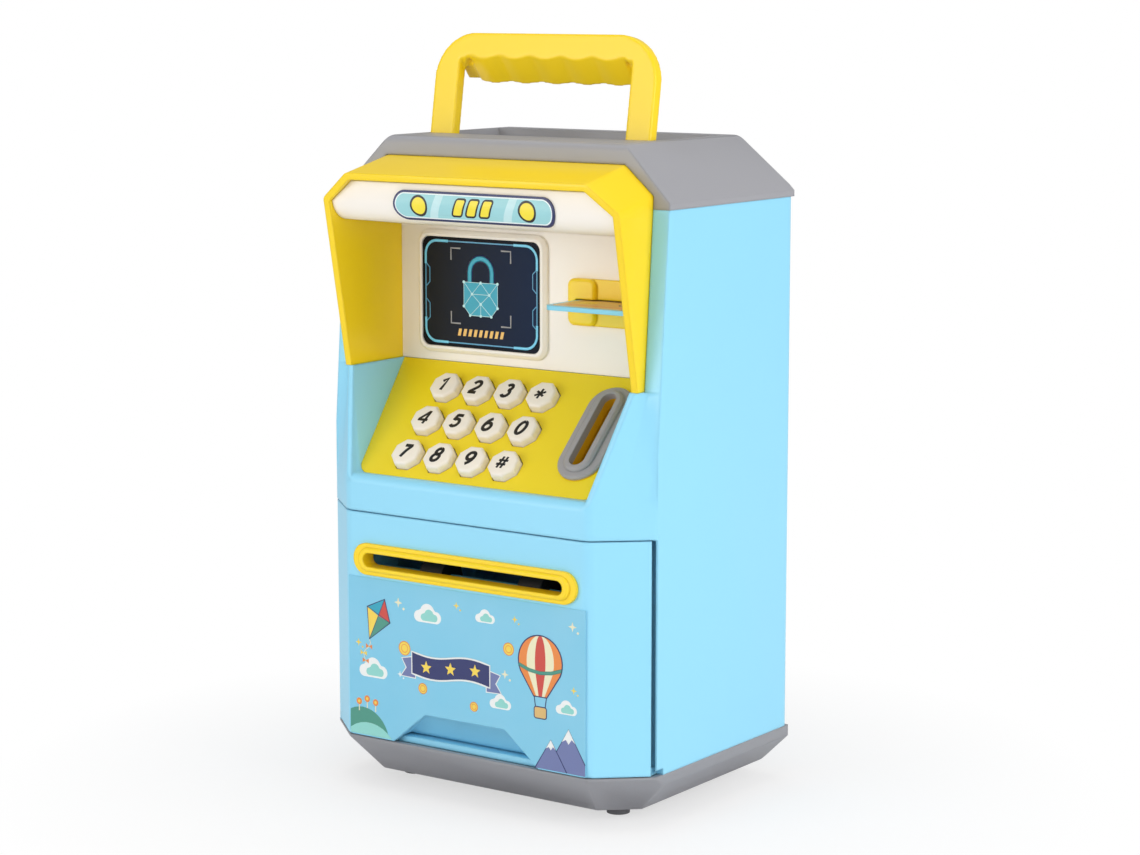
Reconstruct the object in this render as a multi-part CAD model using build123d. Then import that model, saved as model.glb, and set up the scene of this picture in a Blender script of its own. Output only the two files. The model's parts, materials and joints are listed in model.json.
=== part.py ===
from build123d import *
import math
import os

# Toy cash machine savings bank, in millimetres.
# Origin: centre of the outline on the surface it stands on. +Z up, -Y front, +X the coin slot's side.

# ---------------------------------------------------------------- driving sizes
# Body
body_width = 130.0
body_depth = 95.2
corner_run_x = 16.6          # each front corner is cut off by this much across
corner_run_y = 14.6          # and by this much from front to back
wall = 2.2
rear_corner_radius = 3.0
foot_height = 4.0
base_height = 14.0           # base tray, from its underside to the blue shell
door_opening_height = 76.5
ledge_height = 12.1          # front of the shell over the door, up to the keypad plate's lower edge
upper_height = 90.4          # from the keypad plate's lower edge to the cap
cap_height = 20.0
brow_lean = 5.9              # how far the shell's face leans back between ledge and cap
brow_lean_start = 26.5       # height over the door opening where the lean starts

# Base tray
base_inset = 12.5            # how far the tapered walls draw in at the underside
base_lip = 0.8               # straight rim at the front and corners
base_side_lip = 3.8          # straight rim at the sides
base_side_inset = 10.5
base_edge_radius = 2.0
foot_radius = 3.8
foot_spacing_x = 84.0
foot_spacing_y = 56.0

# Door
door_gap = 0.4
door_edge_gap = 1.15         # open gap between the door's free edge and the shell
hinge_radius = 2.4           # knuckle
hinge_pin_radius = 1.0
hinge_pin_length = 9.0
pull_top_half = 16.0
pull_bottom_half = 29.0
pull_height = 11.0
pull_depth = 5.5
pull_bulge = 1.2             # how far the scoop's surface is hollowed
pull_radius = 3.0
label_thickness = 0.25
label_height = 53.8

# Bill slot frame
slot_frame_margin = 3.3      # flat face left beside the frame at each end
slot_frame_height = 10.6
slot_frame_proud = 2.2
slot_rim = 4.8               # frame beyond the slot at each end
slot_height = 4.8
slot_centre_over_sill = 60.8

# Keypad console
plate_angle = 43.5           # slope of the keypad plate
plate_length = 49.2
plate_inset_bottom = 17.8    # from the shell's side, at the plate's lower edge
plate_inset_top = 9.4
plate_setback = 4.3          # lower edge of the plate behind the front
plate_thickness = 3.0
key_size = 10.4              # across the octagon's flats
key_gap = 0.35
key_height = 3.0
key_travel = 1.8
key_pitch_x = 13.2
key_pitch_s = 14.35
key_first_x = -30.3
key_first_s = 37.2

# Coin slot
coin_inset = 29.0            # slot's centre from the shell's side
coin_s = 25.5
coin_ring_length = 37.7
coin_ring_width = 16.6
coin_slot_length = 29.3
coin_slot_width = 5.6
coin_ring_height = 3.0

# Visor hood
hood_inset = 6.3             # hood's side in from the shell's side
hood_wall = 2.4
hood_side_top = 56.0         # height of the straight side at the rim
hood_rim_height = 65.1       # height of the rim over the hood's lower edge
hood_rim_inset = 17.4        # end of the rim's straight top from the shell's side
hood_roof_slope = 0.221
hood_radius = 2.5

# Console panel and display
panel_thickness = 2.0
frame_proud = 2.0
display_width = 48.8
display_height = 36.6
display_centre_x = -21.7
display_rise = 23.7          # display centre over the panel's lower edge
display_frame_margin = 2.3
display_thickness = 1.5
valance_front = 3.4
valance_top_drop = 2.7       # heights of the valance, measured down from the hood's rim
valance_nose_drop = 8.1      # where its face starts to curve back
valance_lip_drop = 16.1
valance_lip_setback = 10.8
valance_root_drop = 19.7
valance_hollow_drop = 10.1
sign_half_length = 33.0
sign_height = 9.8
sign_drop = 9.7              # sign's centre under the hood's rim
sign_thickness = 0.6

# Card slot
bezel_width = 41.0
bezel_height = 15.3
bezel_inset = 30.1           # card slot's centre from the shell's side
bezel_rise = 23.7
bezel_proud = 1.6
pad_width = 11.0
pad_proud = 1.6
card_width = 33.4
card_length = 54.0
card_thickness = 1.5
card_out = 21.5              # how much of the card stands out of the panel
card_clearance = 0.35
card_push = 4.0
card_pull = 33.0

# Handle
handle_half = 44.3
handle_leg = 9.7
handle_thickness = 4.0
handle_rise = 36.8           # pivot to top
handle_lean = 9.0
handle_outer_radius = 15.5
handle_inner_radius = 6.0
grip_front_height = 7.4
grip_drop = 8.0
grip_depth = 5.0
bump_pitch = 12.4
bump_count = 5
pivot_radius = 1.8
pivot_clearance = 0.06
pivot_setback = 41.9
pivot_depth = 3.5            # pivot under the cap's top
well_depth = 11.0
well_wall = 1.6
well_gap = 0.6
well_lip = 1.8               # height of the lip that stops the standing handle

# Cap
cap_top_half = 47.0
cap_lip = 2.0
cap_rear_inset = 6.0
cap_edge_radius = 3.0

# Bill feeder
feed_axis_setback = 13.5
roller_radius = 6.0
roller_length = 9.0
roller_inset = 23.0          # roller's middle from the feeder's inner wall
nip_gap = 0.3
shaft_radius = 1.5
running_clearance = 0.05
gear_module = 0.5
gear_teeth = 32
pinion_teeth = 14
nip_teeth = 24
gear_width = 3.0
gear_backlash = 0.12
feeder_margin = 2.7          # feeder's room beyond the slot at each end
feeder_screw_inset = 11.0
feeder_wall = 2.0
motor_radius = 7.75
motor_length = 17.5

# Latch
bolt_inset = 12.0            # bolt's axis from the shell's side
bolt_setback = 20.0
bolt_radius = 2.5
bolt_lift = 6.0

# Electronics
cell_radius = 7.1
cell_length = 50.0
cell_count = 3
speaker_radius = 18.0
screw_radius = 1.2
screw_head_radius = 2.4
small_screw = 0.75           # size of the keypad board's screws against the others
rail_width = 8.0             # bars inside the side walls that the rear cover is screwed to

os.makedirs("parts", exist_ok=True)

# ---------------------------------------------------------------- places worked out from the sizes
half = body_width / 2
front = (slot_frame_proud - body_depth) / 2
rear = front + body_depth
flat_half = half - corner_run_x
slot_frame_width = 2 * (flat_half - slot_frame_margin)
slot_width = slot_frame_width - 2 * slot_rim
feeder_half = slot_width / 2 + feeder_margin
bolt_x = half - bolt_inset
coin_x = half - coin_inset
bezel_centre_x = half - bezel_inset
hood_half = half - hood_inset
hood_rim_half = half - hood_rim_inset
plate_half_bottom = half - plate_inset_bottom
plate_half_top = half - plate_inset_top
z_base = foot_height
z_sill = z_base + base_height
z_lintel = z_sill + door_opening_height
z_plate = z_lintel + ledge_height
z_seam = z_plate + upper_height
z_top = z_seam + cap_height

slope = math.radians(plate_angle)
plate_run = plate_length * math.cos(slope)
plate_rise = plate_length * math.sin(slope)
y_plate = front + plate_setback
y_panel = y_plate + plate_run
z_hood = z_plate + plate_rise
z_rim = z_hood + hood_rim_height
keypad = Plane(origin=(0, y_plate, z_plate), x_dir=(1, 0, 0), z_dir=(0, -math.sin(slope), math.cos(slope)))

hinge_x = -(half - hinge_radius)
corner_length = math.hypot(corner_run_x, corner_run_y)
corner_nx = corner_run_y / corner_length
corner_ny = corner_run_x / corner_length
# The knuckle touches both the side plane and the cut-off corner.
hinge_y = front + (hinge_radius + corner_nx * (half - hinge_radius - flat_half)) / corner_ny


def brow(z):
    """Front face of the shell's upper part, at height z."""
    start = z_lintel + brow_lean_start
    return front + corner_run_y + brow_lean * max(0.0, z - start) / (z_seam - start)


# ---------------------------------------------------------------- helpers
def block(x0, x1, y0, y1, z0, z1):
    return Pos((x0 + x1) / 2, (y0 + y1) / 2, (z0 + z1) / 2) * Box(x1 - x0, y1 - y0, z1 - z0)


def along_x(points, x0, x1):
    """Side profile of (y, z) points, extruded from x0 to x1."""
    face = make_face(Polyline(*points, close=True))
    return extrude(Plane.YZ.offset(x0) * face, amount=x1 - x0)


def along_y(points, y0, y1):
    """Front profile of (x, z) points, extruded from y0 to y1."""
    face = make_face(Polyline(*points, close=True))
    return extrude(Plane.XZ.offset(-y1) * face, amount=y1 - y0)


def along_z(points, z0, z1):
    """Plan of (x, y) points, extruded from z0 to z1."""
    face = make_face(Polyline(*points, close=True))
    return extrude(Plane.XY.offset(z0) * face, amount=z1 - z0)


def mirrored(points):
    """Closes a right-hand outline with its mirror image across x = 0."""
    return points + [(-x, other) for x, other in reversed(points)]


def rod_z(radius, x, y, z0, z1):
    return Pos(x, y, (z0 + z1) / 2) * Cylinder(radius, z1 - z0)


def rod_y(radius, x, z, y0, y1):
    return Pos(x, (y0 + y1) / 2, z) * Rot(90, 0, 0) * Cylinder(radius, y1 - y0)


def rod_x(radius, y, z, x0, x1):
    return Pos((x0 + x1) / 2, y, z) * Rot(0, 90, 0) * Cylinder(radius, x1 - x0)


def save(shape, name):
    solids = shape.solids()
    shape = solids[0] if len(solids) == 1 else Compound(children=solids)
    export_step(shape, os.path.join("parts", name + ".step"))
    print(name, len(solids), round(sum(solid.volume for solid in solids), 1))


def body_plan(inset):
    """Plan of the body, drawn in by inset all round."""
    points = mirrored([(flat_half, front), (half, front + corner_run_y), (half, rear)])
    face = make_face(Polyline(*points, close=True))
    return offset(face, amount=-inset, kind=Kind.INTERSECTION) if inset else face


def body_prism(inset, z0, z1):
    return extrude(Plane.XY.offset(z0) * body_plan(inset), amount=z1 - z0)


def lean_prism(inset, z0, z1, back):
    """Upper body behind the leaning face, drawn in by inset at face and sides."""
    start = z_lintel + brow_lean_start
    heights = [z0] + ([start] if z0 < start < z1 else []) + [z1]
    points = [(brow(z) + inset, z) for z in heights] + [(back, z1), (back, z0)]
    return along_x(points, -half + inset, half - inset)


def prism(across, sides, depth):
    """Upright prism on the XY plane, sized across its flats."""
    return extrude(RegularPolygon(across / 2, sides, major_radius=False), amount=depth)


def prism_z(across, sides, x, y, z0, z1):
    return Pos(x, y, z0) * prism(across, sides, z1 - z0)


def prism_y(across, sides, x, z, y0, y1):
    return Pos(x, y0, z) * Rot(-90, 0, 0) * prism(across, sides, y1 - y0)


def screw(length, scale=1.0):
    """Pan-head screw along +Z, its head's underside at the origin."""
    head = Pos(0, 0, -1.5 * scale) * prism(2 * screw_head_radius * scale, 8, 1.5 * scale)
    return head + prism(2 * screw_radius * scale, 6, length)


# ---------------------------------------------------------------- base tray and feet
def base_solid(inset):
    """The tray's outer form, drawn in by inset."""
    solid = body_prism(inset, z_base + inset, z_sill)
    big = body_width
    front_cut = along_x([
        (front + inset, z_sill - base_lip), (front + inset, z_sill), (rear, z_sill), (rear, z_base),
        (front + base_inset + inset, z_base),
    ], -big, big)
    solid = solid & front_cut
    side = half - inset
    side_cut = along_y(mirrored([
        (side - base_side_inset, z_base), (side, z_sill - base_side_lip), (side, z_sill),
    ]), front - 1, rear + 1)
    solid = solid & side_cut
    turn = math.degrees(math.atan2(corner_run_y, corner_run_x))
    for hand in (-1, 1):
        corner = Pos(hand * (flat_half + corner_run_x / 2), front + corner_run_y / 2, 0)
        wedge = along_x([
            (inset - big / 2, z_sill), (inset, z_sill), (inset, z_sill - base_lip),
            (inset + base_inset, z_base), (inset - big / 2, z_base),
        ], -big / 2, big / 2)
        solid = solid - corner * Rot(0, 0, hand * turn) * wedge
    return solid


foot_places = [(hand * foot_spacing_x / 2, front + 27.0 + back * foot_spacing_y)
               for hand in (-1, 1) for back in (0, 1)]
z_boss = z_sill - 6.0        # where the tray's bosses meet the shell's
base_screw_places = [(hand * 45.0, front + 27.0 + back * foot_spacing_y + 9.0 - 18.0 * back)
                     for hand in (-1, 1) for back in (0, 1)]


def base_tray():
    outer = base_solid(0)
    slanted = [edge for edge in outer.edges()
               if z_base + 4 < edge.center().Z < z_sill - base_side_lip and edge.center().Y < 0]
    outer = fillet([*outer.faces().sort_by(Axis.Z)[0].edges(), *slanted], base_edge_radius)
    tray = outer - base_solid(wall) - body_prism(wall, z_sill - 1, z_sill + 1)
    for x, y in base_screw_places:
        tray += prism_z(6.8, 8, x, y, z_base + 0.5, z_boss)
        tray -= prism_z(2 * screw_head_radius + 0.6, 8, x, y, z_base - 1, z_base + 3)
        tray -= prism_z(2 * screw_radius + 0.2, 6, x, y, z_base, z_boss + 1)
    for x, y in foot_places:
        tray -= prism_z(2 * foot_radius - 2.4, 8, x, y, z_base - 1, z_base + 1.2)
    for x in (-30.0, -10.0, 10.0, 30.0):
        rib = block(x - 0.7, x + 0.7, front + 20, rear - wall, z_base + wall - 0.2, z_sill)
        tray += rib & base_solid(wall / 2)
    return tray


def feet():
    pads = []
    for x, y in foot_places:
        pad = rod_z(foot_radius, x, y, 0, z_base)
        pads.append(pad + prism_z(2 * foot_radius - 2.6, 8, x, y, z_base, z_base + 1.1))
    return Compound(children=pads)


# ---------------------------------------------------------------- main shell
z_ledge = z_plate - 2.6
rim_setback = 12.6           # hood's lower front corner behind the front
cheek_ridge = hood_half - 1.2
rim_under_plate = 2.0
plate_rim = 1.8              # width of the ledge that carries the keypad plate


def cheeks():
    """Tapers from the cut-off corners at the ledge to the hood's feet."""
    crease = flat_half + 0.49 * corner_run_x
    bottom = mirrored([
        (flat_half, front), (crease, front + 0.49 * corner_run_y), (half, front + corner_run_y),
        (half, front + 34),
    ])
    top = mirrored([
        (cheek_ridge, front + rim_setback), (hood_half + 1.5, brow(z_hood) - 0.4), (half, brow(z_hood)),
        (half, front + 34),
    ])
    lower = Plane.XY.offset(z_ledge) * make_face(Polyline(*bottom, close=True))
    upper = Plane.XY.offset(z_hood) * make_face(Polyline(*top, close=True))
    return loft([lower, upper], ruled=True)


def under_slope(y, depth):
    """Height of the line that runs depth below the keypad plate's face."""
    return z_plate - depth * math.cos(slope) + (y - y_plate - depth * math.sin(slope)) * math.tan(slope)


def console_void():
    """Open space over the keypad plate, between the cheeks."""
    walls = along_y(mirrored([(plate_half_top, z_hood), (plate_half_bottom, z_plate)]), front - 9, y_panel)
    space = along_x([
        (front - 9, z_plate), (y_plate, z_plate), (y_panel, z_hood), (front - 9, z_hood),
    ], -half, half)
    return walls & space


def plate_face(grow):
    """The keypad plate's outline in its own plane, grown all round."""
    points = mirrored([(plate_half_top, plate_length), (plate_half_bottom, 0)])
    face = make_face(Polyline(*points, close=True))
    face = fillet(face.vertices().sort_by(Axis.Y)[:2], 5.0)
    return offset(face, amount=grow, kind=Kind.INTERSECTION) if grow else face


rear_screws_at = [(hand * (half - wall - rail_width / 2), z) for hand in (-1, 1)
                  for z in (z_sill + 14, z_lintel + 10, z_seam - 12)]
cap_screws_at = [(hand * (half - 8.2), y) for hand in (-1, 1) for y in (y_panel + 12, rear - 21)]
well_depth_of_screw = 6.0
deck_top = z_lintel + wall
chute_outlet = (front + 34.0, front + 68.0)
chute_deck = (front + 25.0, front + 70.2)
chute_half = 5.0
chute_wall = 1.6


def main_shell():
    outer = body_prism(0, z_sill, z_ledge) + cheeks() + lean_prism(0, z_ledge, z_seam, rear)
    outer = fillet(outer.edges().filter_by(Axis.Z).group_by(Axis.Y)[-1], rear_corner_radius)

    # Money compartment, open at the front for the door and at the rear for the cover.
    lower_bay = block(-half + wall, half - wall, front - 9, rear + 1, z_sill + wall, z_lintel)
    door_zone = block(0, half + 1, front - 9, front + corner_run_y, z_sill + wall, z_lintel)
    hinge_zone = block(-half - 1, 0, front - 9, hinge_y + hinge_radius + door_gap, z_sill + wall, z_lintel)
    shell = outer - lower_bay - door_zone - hinge_zone
    sill_skirt = body_prism(0, z_sill - 1, z_sill + wall) - body_prism(wall + door_gap, z_sill - 1,
                                                                       z_sill + wall)
    shell -= sill_skirt & block(-half, half, front - 1, hinge_y + hinge_radius + door_gap,
                                z_sill - 1, z_sill + wall)
    shell += rod_z(hinge_radius, hinge_x, hinge_y, z_sill, z_sill + wall)

    # Upper bay behind the keypad slope and the leaning face.
    cut_depth = plate_thickness + rim_under_plate
    y_back = y_panel + panel_thickness + 1
    y_low = front + wall
    bay = along_x([
        (y_low, z_lintel), (y_low, under_slope(y_low, cut_depth)), (y_back, under_slope(y_back, cut_depth)),
        (y_back, z_hood + 3), (brow(z_hood + 3) + wall, z_hood + 3), (brow(z_seam) + wall, z_seam + 1),
        (rear + 1, z_seam + 1), (rear + 1, z_lintel),
    ], -half + wall, half - wall)
    inside = body_prism(wall, z_lintel, z_seam + 1)
    inside += block(-half, half, rear - 9, rear + 1, z_lintel, z_seam + 1)
    shell -= bay & inside
    shell -= console_void()
    shell -= keypad * extrude(plate_face(0.15), amount=-plate_thickness)
    shell -= keypad * Pos(0, 0, -plate_thickness) * extrude(plate_face(-plate_rim),
                                                            amount=-rim_under_plate - 1)
    hood_slot = hood_half + 0.2
    shell -= block(-hood_slot, hood_slot, front - 1, y_back, z_hood, z_seam + 1)

    shell -= block(-half + wall, half - wall, rear - wall, rear + 1, z_sill + wall, z_seam + 1)

    # Door hinge bosses.
    shell += rod_z(hinge_radius, hinge_x, hinge_y, z_lintel, z_lintel + 5.5)
    for z0, z1 in ((z_sill - 1, z_sill + wall + 1), (z_lintel - 1, z_lintel + 5.5 - 1.0)):
        shell -= rod_z(hinge_pin_radius, hinge_x, hinge_y, z0, z1)

    # Stop for the door's free edge.
    shell += block(half - wall - 4.5, half - wall + 0.5, front + 19.0, front + 21.0, z_sill + wall, z_lintel)

    # Bars along the side walls: for the rear cover's screws, under the deck, and for the cap's screws.
    for hand in (-1, 1):
        for reach, y0, y1, z0, z1 in (
                (rail_width, rear - well_depth_of_screw - 11, rear - well_depth_of_screw,
                 z_sill + wall - 0.5, z_seam),
                (3.0, front + 24, rear - well_depth_of_screw - 10, z_lintel - 3, z_lintel),
                (9.6, y_panel + 7, rear - 8, z_seam - 4, z_seam)):
            x0, x1 = sorted((hand * (half - wall - reach), hand * (half - wall + 0.5)))
            shell += block(x0, x1, y0, y1, z0, z1)
    for x, z in rear_screws_at:
        shell -= prism_y(2 * screw_radius, 6, x, z, rear - well_depth_of_screw - 9, rear)
    for x, y in cap_screws_at:
        shell -= prism_z(2 * screw_radius + 0.3, 6, x, y, z_seam - 5, z_seam + 1)
    for x, y in base_screw_places:
        shell += prism_z(6.4, 8, x, y, z_boss, z_sill + 0.5)
        shell -= prism_z(2 * screw_radius, 6, x, y, z_boss - 1, z_sill + 0.4)

    # Soft edge along the top of the ledge.
    ledge_edges = [
        edge for edge in shell.edges()
        if edge.length > flat_half and abs(edge.center().Z - z_plate) < 0.1 and edge.center().Y < y_plate - 1
    ]
    return fillet(ledge_edges, 2.4)


def deck_plate():
    """Ceiling of the money compartment; it rests on the shell's side bars."""
    deck = body_prism(wall, z_lintel, deck_top)
    for hand in (-1, 1):
        x0, x1 = sorted((hand * (half - wall - rail_width), hand * half))
        deck -= block(x0, x1, rear - well_depth_of_screw - 11, rear - well_depth_of_screw, z_lintel - 1,
                      z_seam)
    deck -= rod_z(hinge_radius, hinge_x, hinge_y, z_lintel - 1, deck_top + 1)
    deck -= rod_z(bolt_radius + running_clearance, bolt_x, front + bolt_setback, z_lintel - 1, deck_top + 1)
    opening = chute_half + chute_wall + 0.3
    return deck - block(coin_x - opening, coin_x + opening, chute_deck[0], chute_deck[1], z_lintel - 1,
                        deck_top + 1)


# ---------------------------------------------------------------- visor hood
def hood_outline(y, inset):
    """Front view of the hood at depth y: roof, cut-off corner and straight side."""
    run = hood_half - hood_rim_half
    drop = hood_rim_height - hood_side_top
    length = math.hypot(run, drop)
    nx, nz = drop / length, run / length
    rise = hood_roof_slope * (y - front)
    z_roof = z_rim + rise
    z_side = z_hood + hood_side_top + rise
    corner_x = hood_rim_half - inset * (1 - nz) / nx
    corner_z = z_side - inset * (1 - nx) / nz
    return mirrored([
        (corner_x, z_roof - inset), (hood_half - inset, corner_z),
        (hood_half - inset, z_hood - max(inset, 0)),
    ])


def hood_form(inset, y0, y1):
    faces = [Plane.XZ.offset(-y) * make_face(Polyline(*hood_outline(y, inset), close=True))
             for y in (y0, y1)]
    return loft(faces, ruled=True)


def visor_hood():
    y_back = front + 24.0
    hood = hood_form(0, front - 6, y_back)
    long_edges = [edge for edge in hood.edges()
                  if abs(edge.tangent_at(0.5).Y) > 0.9 and edge.center().Z > z_hood + hood_side_top / 2]
    hood = fillet(long_edges, hood_radius)
    for hand in (-1, 1):
        x0, x1 = sorted((hand * (hood_half - hood_wall), hand * hood_half))
        hood += block(x0, x1, y_back - 1, y_panel, z_hood, z_hood + hood_side_top - 2)
    hood -= hood_form(hood_wall, front - 7, y_back + 1)
    z_high = z_rim + 10
    rim_cut = along_x([
        (front - 9, z_hood - 5), (front + rim_setback, z_hood - 5), (front + rim_setback, z_hood),
        (front + 2.2, z_hood + hood_side_top - 1), (front, z_rim - 0.6),
        (front - 0.3, z_high), (front - 9, z_high),
    ], -half, half)
    hood -= rim_cut
    # The roof's hidden rear edge keeps clear of the handle's well.
    return hood & block(-half, half, front - 9, y_panel, z_hood, z_top)


# ---------------------------------------------------------------- console panel, sign and display
def valance_face(grow):
    top = z_rim - valance_top_drop
    nose = (front + valance_front, z_rim - valance_nose_drop)
    lip = (front + valance_lip_setback, z_rim - valance_lip_drop)
    middle = (front + valance_front + 1.5, z_rim - valance_lip_drop + 3.1)
    straight = Polyline(lip, (y_panel + 1, z_rim - valance_root_drop), (y_panel + 1, top),
                        (front + valance_front, top), nose)
    face = make_face([*straight.edges(), ThreePointArc(nose, middle, lip)])
    return offset(face, amount=grow) if grow else face


def valance(grow, reach):
    return extrude(Plane.YZ.offset(-reach) * valance_face(grow), amount=2 * reach)


display_z = z_hood + display_rise
sleeve_wall = 2.0            # card slot's sleeve through the panel
sleeve_half = 3.05
y_frame = y_panel - frame_proud
bezel_z = z_hood + bezel_rise


def rounded_plate(width, height, radius, x, z, y0, y1):
    face = Plane.XZ.offset(-y1) * Pos(x, z) * RectangleRounded(width, height, radius)
    return extrude(face, amount=y1 - y0)


def stadium(width, height, z, y0, y1):
    """Plate with fully rounded ends, centred across the front."""
    face = Plane.XZ.offset(-y1) * Pos(0, z) * SlotOverall(width, height)
    return extrude(face, amount=y1 - y0)


def console_panel():
    inner = hood_half - hood_wall - 0.15
    panel = block(-hood_half + 0.2, hood_half - 0.2, y_panel, y_panel + panel_thickness,
                  z_hood + 0.1, z_hood + hood_side_top - 3)
    brow_box = valance(0, inner) & hood_form(hood_wall + 0.15, front - 5, y_panel + 2)
    hollow = along_x([
        (front + 7.5, z_seam + 12), (front + 7.5, z_rim - valance_hollow_drop),
        (front + 13.5, z_rim - valance_lip_drop + 2),
        (y_panel - 2, z_rim - valance_root_drop + 2.6), (y_panel - 2, z_seam + 12),
    ], -inner + 2, inner - 2)
    panel += brow_box - hollow
    frame_width = display_width + 2 * display_frame_margin
    frame_height = display_height + 2 * display_frame_margin
    frame = rounded_plate(frame_width, frame_height, 4.5, display_centre_x, display_z, y_frame,
                          y_panel + 0.5)
    frame = chamfer(frame.faces().sort_by(Axis.Y)[0].edges(), 1.2)
    panel += frame
    panel -= rounded_plate(display_width + 0.3, display_height + 0.3, 3.0, display_centre_x, display_z,
                           y_frame - 1, y_frame + display_thickness + 0.4)
    panel -= block(display_centre_x - display_width / 2 + 2, display_centre_x + display_width / 2 - 2,
                   y_frame, y_panel + 5, display_z - display_height / 2 + 2,
                   display_z + display_height / 2 - 2)
    sleeve = card_width / 2 + sleeve_wall + 0.15
    panel -= block(bezel_centre_x - sleeve, bezel_centre_x + sleeve,
                   y_panel - 1, y_panel + 5, bezel_z - sleeve_half - 0.15, bezel_z + sleeve_half + 0.15)
    return panel


def display_window():
    y0 = y_frame + 0.4
    return rounded_plate(display_width, display_height, 3.0, display_centre_x, display_z, y0,
                         y0 + display_thickness)


def display_light_board():
    reach = display_width / 2 + 2.2
    board = block(display_centre_x - reach, display_centre_x + reach, y_panel + 6, y_panel + 7.6,
                  display_z - 16, display_z + 16)
    for x in (-12, 0, 12):
        for z in (-7, 7):
            board += block(display_centre_x + x - 1.4, display_centre_x + x + 1.4, y_panel + 5,
                           y_panel + 6.1,
                           display_z + z - 1.4, display_z + z + 1.4)
    for x in (1.8 - reach, reach - 1.8):
        for z in (-13, 13):
            board += prism_y(3.2, 6, display_centre_x + x, display_z + z, y_panel + panel_thickness,
                             y_panel + 6.1)
    return board


def sign_plate():
    outline = Plane.XZ.offset(-front - 20) * Pos(0, z_rim - sign_drop) * SlotOverall(2 * sign_half_length,
                                                                                     sign_height)
    pill = extrude(outline, amount=30)
    return (valance(sign_thickness, half) - valance(0, half + 1)) & pill


# ---------------------------------------------------------------- keypad
key_names = (("1", "2", "3", "star"), ("4", "5", "6", "0"), ("7", "8", "9", "hash"))


def octagon(across, height):
    return extrude(RegularPolygon(across / 2, 8, major_radius=False, rotation=22.5), amount=height)


def key_place(row, column):
    return Pos(key_first_x + column * key_pitch_x, key_first_s - row * key_pitch_s, 0)


def keypad_plate():
    plate = keypad * extrude(plate_face(0), amount=-plate_thickness)
    for row in range(3):
        for column in range(4):
            hole = Pos(0, 0, -plate_thickness - 1) * octagon(key_size + 2 * key_gap, plate_thickness + 2)
            plate -= keypad * key_place(row, column) * hole
    sleeve_width = coin_slot_width + 4.0
    hole = SlotOverall(coin_slot_length + 4.0 + 0.2, sleeve_width + 0.2, rotation=90)
    plate -= keypad * Pos(coin_x, coin_s, -plate_thickness - 1) * extrude(hole, amount=plate_thickness + 2)
    for x, s in board_posts:
        plate += keypad * prism_z(3.4, 8, x, s, -board_depth, -plate_thickness + 0.5)
        plate -= keypad * prism_z(2 * screw_radius * small_screw, 6, x, s, -board_depth - 1,
                                  -board_depth + 4)
    return plate


board_depth = 9.6            # face of the keypad board under the plate's face
mat_thickness = 1.0
board_left = key_first_x - 11.0
board_right = key_first_x + 3 * key_pitch_x + 10.6
board_posts = [(board_left + 2.2, 5.0), (board_left + 2.2, 42.4),
               (board_right - 2.2, 2.2 + 6.0), (board_right - 2.2, 42.4)]


def key(row, column):
    body = Pos(0, 0, -plate_thickness - 0.2) * octagon(key_size, plate_thickness + 0.2 + key_height)
    body = chamfer(body.faces().sort_by(Axis.Z)[-1].edges(), 0.9)
    body += Pos(0, 0, -plate_thickness - 1.2) * octagon(key_size + 1.8, 1.15)
    body += Pos(0, 0, -plate_thickness - 2.1) * Box(3.6, 3.6, 2.2)
    return keypad * key_place(row, column) * body


def keypad_mat():
    width = board_right - board_left - 8.6
    middle = (board_left + board_right) / 2
    sheet = Pos(middle, plate_length / 2 - 1.0, -board_depth) * Box(
        width, 41.0, mat_thickness, align=(Align.CENTER,) * 2 + (Align.MIN,))
    for row in range(3):
        for column in range(4):
            sheet += key_place(row, column) * Pos(0, 0, -board_depth + mat_thickness - 0.1) * octagon(6.4,
                                                                                                      0.6)
    return keypad * sheet


def keypad_board():
    middle = (board_left + board_right) / 2
    board = Pos(middle, plate_length / 2 - 1.0, -board_depth - 1.6) * Box(
        board_right - board_left, 43.0, 1.6, align=(Align.CENTER,) * 2 + (Align.MIN,))
    for x, s in board_posts:
        board -= prism_z(2.2, 6, x, s, -board_depth - 2, -board_depth + 1)
    board += Pos(middle, plate_length / 2, -board_depth - 2.8) * Box(9, 12, 2.6)
    return keypad * board


def keypad_screws():
    return Compound(children=[
        keypad * Pos(x, s, -board_depth - 1.6) * screw(5.0, small_screw) for x, s in board_posts])


# ---------------------------------------------------------------- coin slot
def coin_ring():
    flange = extrude(SlotOverall(coin_ring_length, coin_ring_width, rotation=90),
                     amount=coin_ring_height / 2)
    flange = chamfer(flange.faces().sort_by(Axis.Z)[-1].edges(), 0.6)
    ridge = extrude(SlotOverall(coin_slot_length + 3.8, coin_slot_width + 5.0, rotation=90),
                    amount=coin_ring_height)
    ridge = chamfer(ridge.faces().sort_by(Axis.Z)[-1].edges(), 0.8)
    sleeve = SlotOverall(coin_slot_length + 4.0, coin_slot_width + 4.0, rotation=90)
    ring = flange + ridge + extrude(sleeve, amount=-plate_thickness)
    slot = Pos(0, 0, -plate_thickness - 1) * extrude(
        SlotOverall(coin_slot_length, coin_slot_width, rotation=90),
        amount=plate_thickness + coin_ring_height + 2)
    return keypad * Pos(coin_x, coin_s, 0) * (ring - slot)


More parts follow.
